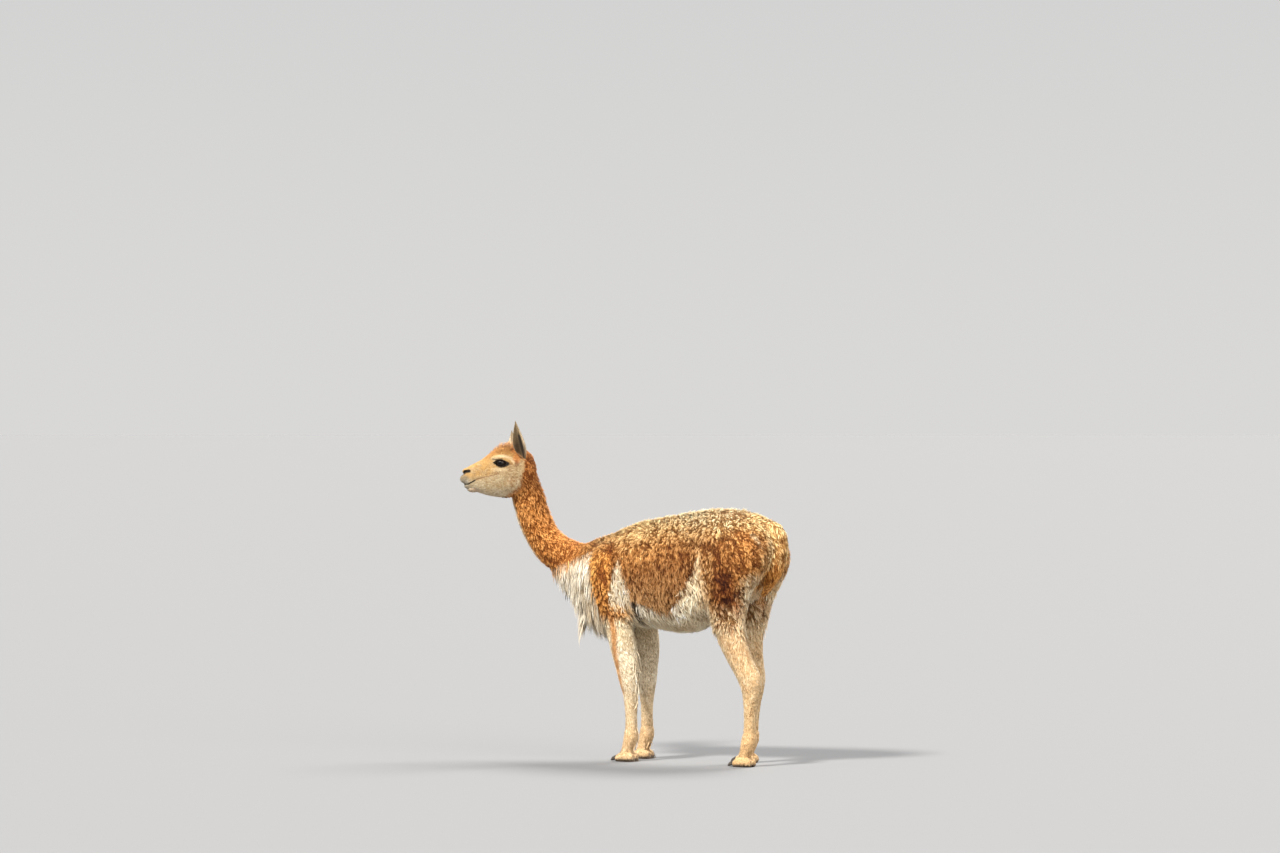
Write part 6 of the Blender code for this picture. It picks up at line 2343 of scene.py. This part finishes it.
class Vicuna:
    """The whole animal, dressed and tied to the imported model."""

    def __init__(self) -> None:
        """Sets the forms."""
        self.head = Head()
        self.neck, self.trunk, self.tail = Neck(), Trunk(), Tail()
        self.markings = Markings(self.head, self.neck, self.tail)
        low, high = (Vector(corner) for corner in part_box("eye_left"))
        eye = self.head.matrix() @ self.head.eye_centre(Side.LEFT)
        self.shift = (low + high) / 2 - eye
        finishes = {
            "fleece": HairFinish("fleece_wool", sheen=0.10, gloss=0.12),
            "pale_hair": HairFinish("pale_hair", flecks=0.10, sheen=0.30),
            "face_fur": HairFinish("face_fur", flecks=0.12, fleck_size=260, bump=0.0003),
            "ear_skin": HairFinish("ear_skin", flecks=0.15, fleck_size=320, bump=0.0003),
            "skin": HairFinish("skin_under_wool", roughness=0.85, sheen=0.1, flecks=0.25, bump=0.0012),
        }
        self.finishes = {name: finish.build() for name, finish in finishes.items()}

    def settle(self, obj: bpy.types.Object, finish: str | bpy.types.Material) -> None:
        """Finishes a piece and ties it to the model's body.

        Args:
            obj: The piece.
            finish: The name of its finish, or its material.
        """
        obj.data.transform(Matrix.Translation(self.shift))
        obj.data.materials.clear()
        made = self.finishes[finish] if isinstance(finish, str) else finish
        obj.data.materials.append(made)
        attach(obj, "root")
        LOG.info("settled %s", obj.name)

    def dress_skin(self) -> None:
        """Builds the skin, grows its coat and puts both in place."""
        skin = Flesh(self.head, self.neck, self.trunk, self.tail, LEGS).build()
        groomer = Groomer(skin, self.markings)
        wardrobe = Wardrobe(self.markings)
        for coat in wardrobe.coats():
            for piece in groomer.grow(coat):
                self.settle(piece, coat.slot)
        points, normals = groomer.points, groomer.normals
        colours = self.markings.colour(points, normals)
        pale = np.maximum(self.markings.bib_share(points), wardrobe.belly_share(points, normals))
        short = np.maximum(self.markings.head_share(points), wardrobe.leg_share(points))
        # The skin shows between the tufts: painted shade, darkest under the deep fleece and lighter under
        # short or pale hair.
        tinted(skin.data, colours * warmed(0.30 + 0.57 * np.maximum(pale, short), 1.0))
        self.settle(skin, "skin")
        nodes = ["head", "neck_upper", "neck_lower", "torso", "tail"]
        for leg in LEGS:
            nodes += [leg.name + "_upper", leg.name + "_lower", f"{leg.pair.value}_foot_{leg.side.word}"]
        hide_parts(*nodes)

    def dress_head(self) -> None:
        """Builds eyes and ears."""
        for side in Side:
            eye = self.head.build_eye(side)
            Bench.take(eye)
            bpy.ops.object.shade_smooth()
            self.settle(eye, EyeFinish(self.head, side, self.shift).build())
            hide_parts(f"eye_{side.word}")
            self.dress_ear(Ear(side, EARS[side], self.head))

    def dress_ear(self, ear: Ear) -> None:
        """Builds one ear with its short hair."""
        shell = ear.build()
        Bench.apply(shell, "SUBSURF", levels=1)
        Bench.apply(shell, "TRIANGULATE")
        Bench.take(shell)
        bpy.ops.object.shade_smooth()
        outward, opening, across = (np.array(way) for way in ear.axes())
        turn = np.array(self.head.matrix())[:3, :3]
        base = np.array(ear.foot())

        def colour(points: Array, normals: Array) -> Array:
            """The ear's colours: grey-brown behind, a pale rim, a dark cup with painted shade in its deep
            slit.
            """
            local = self.markings.in_head(points) - base
            facing = self.markings.in_head(points + normals) - self.markings.in_head(points)
            height = local @ outward / ear.length
            paint = Paint(len(points), Tone.EAR_BACK)
            inside = soft(facing @ opening, 0.05, 0.5)
            half = ear.half_width * np.interp(height, np.linspace(0, 1, 9), ear.leaf)
            wide = np.abs(local @ across) / np.maximum(half, 0.003)
            paint.lay(Tone.BEIGE, inside * soft(height, 0.45, 0.3) * 0.30)
            # The cup's dark skin, with painted shade down its deep middle slit.
            slit = 1 - soft(wide, 0.34 - 0.2 * height, 0.26)
            paint.lay(Tone.EAR_INSIDE, inside * slit * (1 - soft(height, 0.66, 0.14)))
            paint.lay(Tone.EAR_RIM, soft(wide, 0.90, 0.22) * 0.9)
            paint.lay(Tone.ORANGE, (1 - soft(height, 0.16, 0.16)) * (1 - inside))
            return paint.colours

        def everywhere(points: Array, normals: Array) -> Array:
            """The ear's hair grows all over it."""
            return np.ones(len(points))

        def lie(points: Array, normals: Array) -> Array:
            """The ear's hair lies towards its tip."""
            return np.tile(outward @ turn.T, (len(points), 1))

        groomer = Groomer(shell, self.markings, EarMarkings(colour))
        coat = Coat(f"ear_hair_{ear.side.word}", "ear_skin", everywhere, lie, 0.0024, 0.0060, 0.0016,
                    lift=12, clump=0.006, stretch=2.0, pull=0.2, joints=2, crack=0.15,
                    shade=(0.85, 1.06), sink=0.0004)
        tinted(shell.data, colour(groomer.points, groomer.normals))
        for piece in groomer.grow(coat):
            self.settle(piece, "ear_skin")
        self.settle(shell, "ear_skin")
        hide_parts(f"ear_{ear.side.word}")

    def dress_feet(self) -> None:
        """Builds the nails."""
        horn = HornFinish().build()
        for leg in LEGS:
            for toe in (-1, 1):
                nail = leg.build_nail(toe)
                Bench.take(nail)
                bpy.ops.object.shade_smooth_by_angle(angle=0.7)
                self.settle(nail, horn)
                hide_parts(nail.name.replace("_horn", ""))


def main() -> None:
    """Builds the animal and the studio."""
    logging.basicConfig(level=logging.INFO, format="%(name)s: %(message)s")
    bpy.ops.object.select_all(action="DESELECT")
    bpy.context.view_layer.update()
    vicuna = Vicuna()
    vicuna.dress_skin()
    vicuna.dress_head()
    vicuna.dress_feet()
    Studio(vicuna.shift).build()


if __name__ == "__main__":
    main()
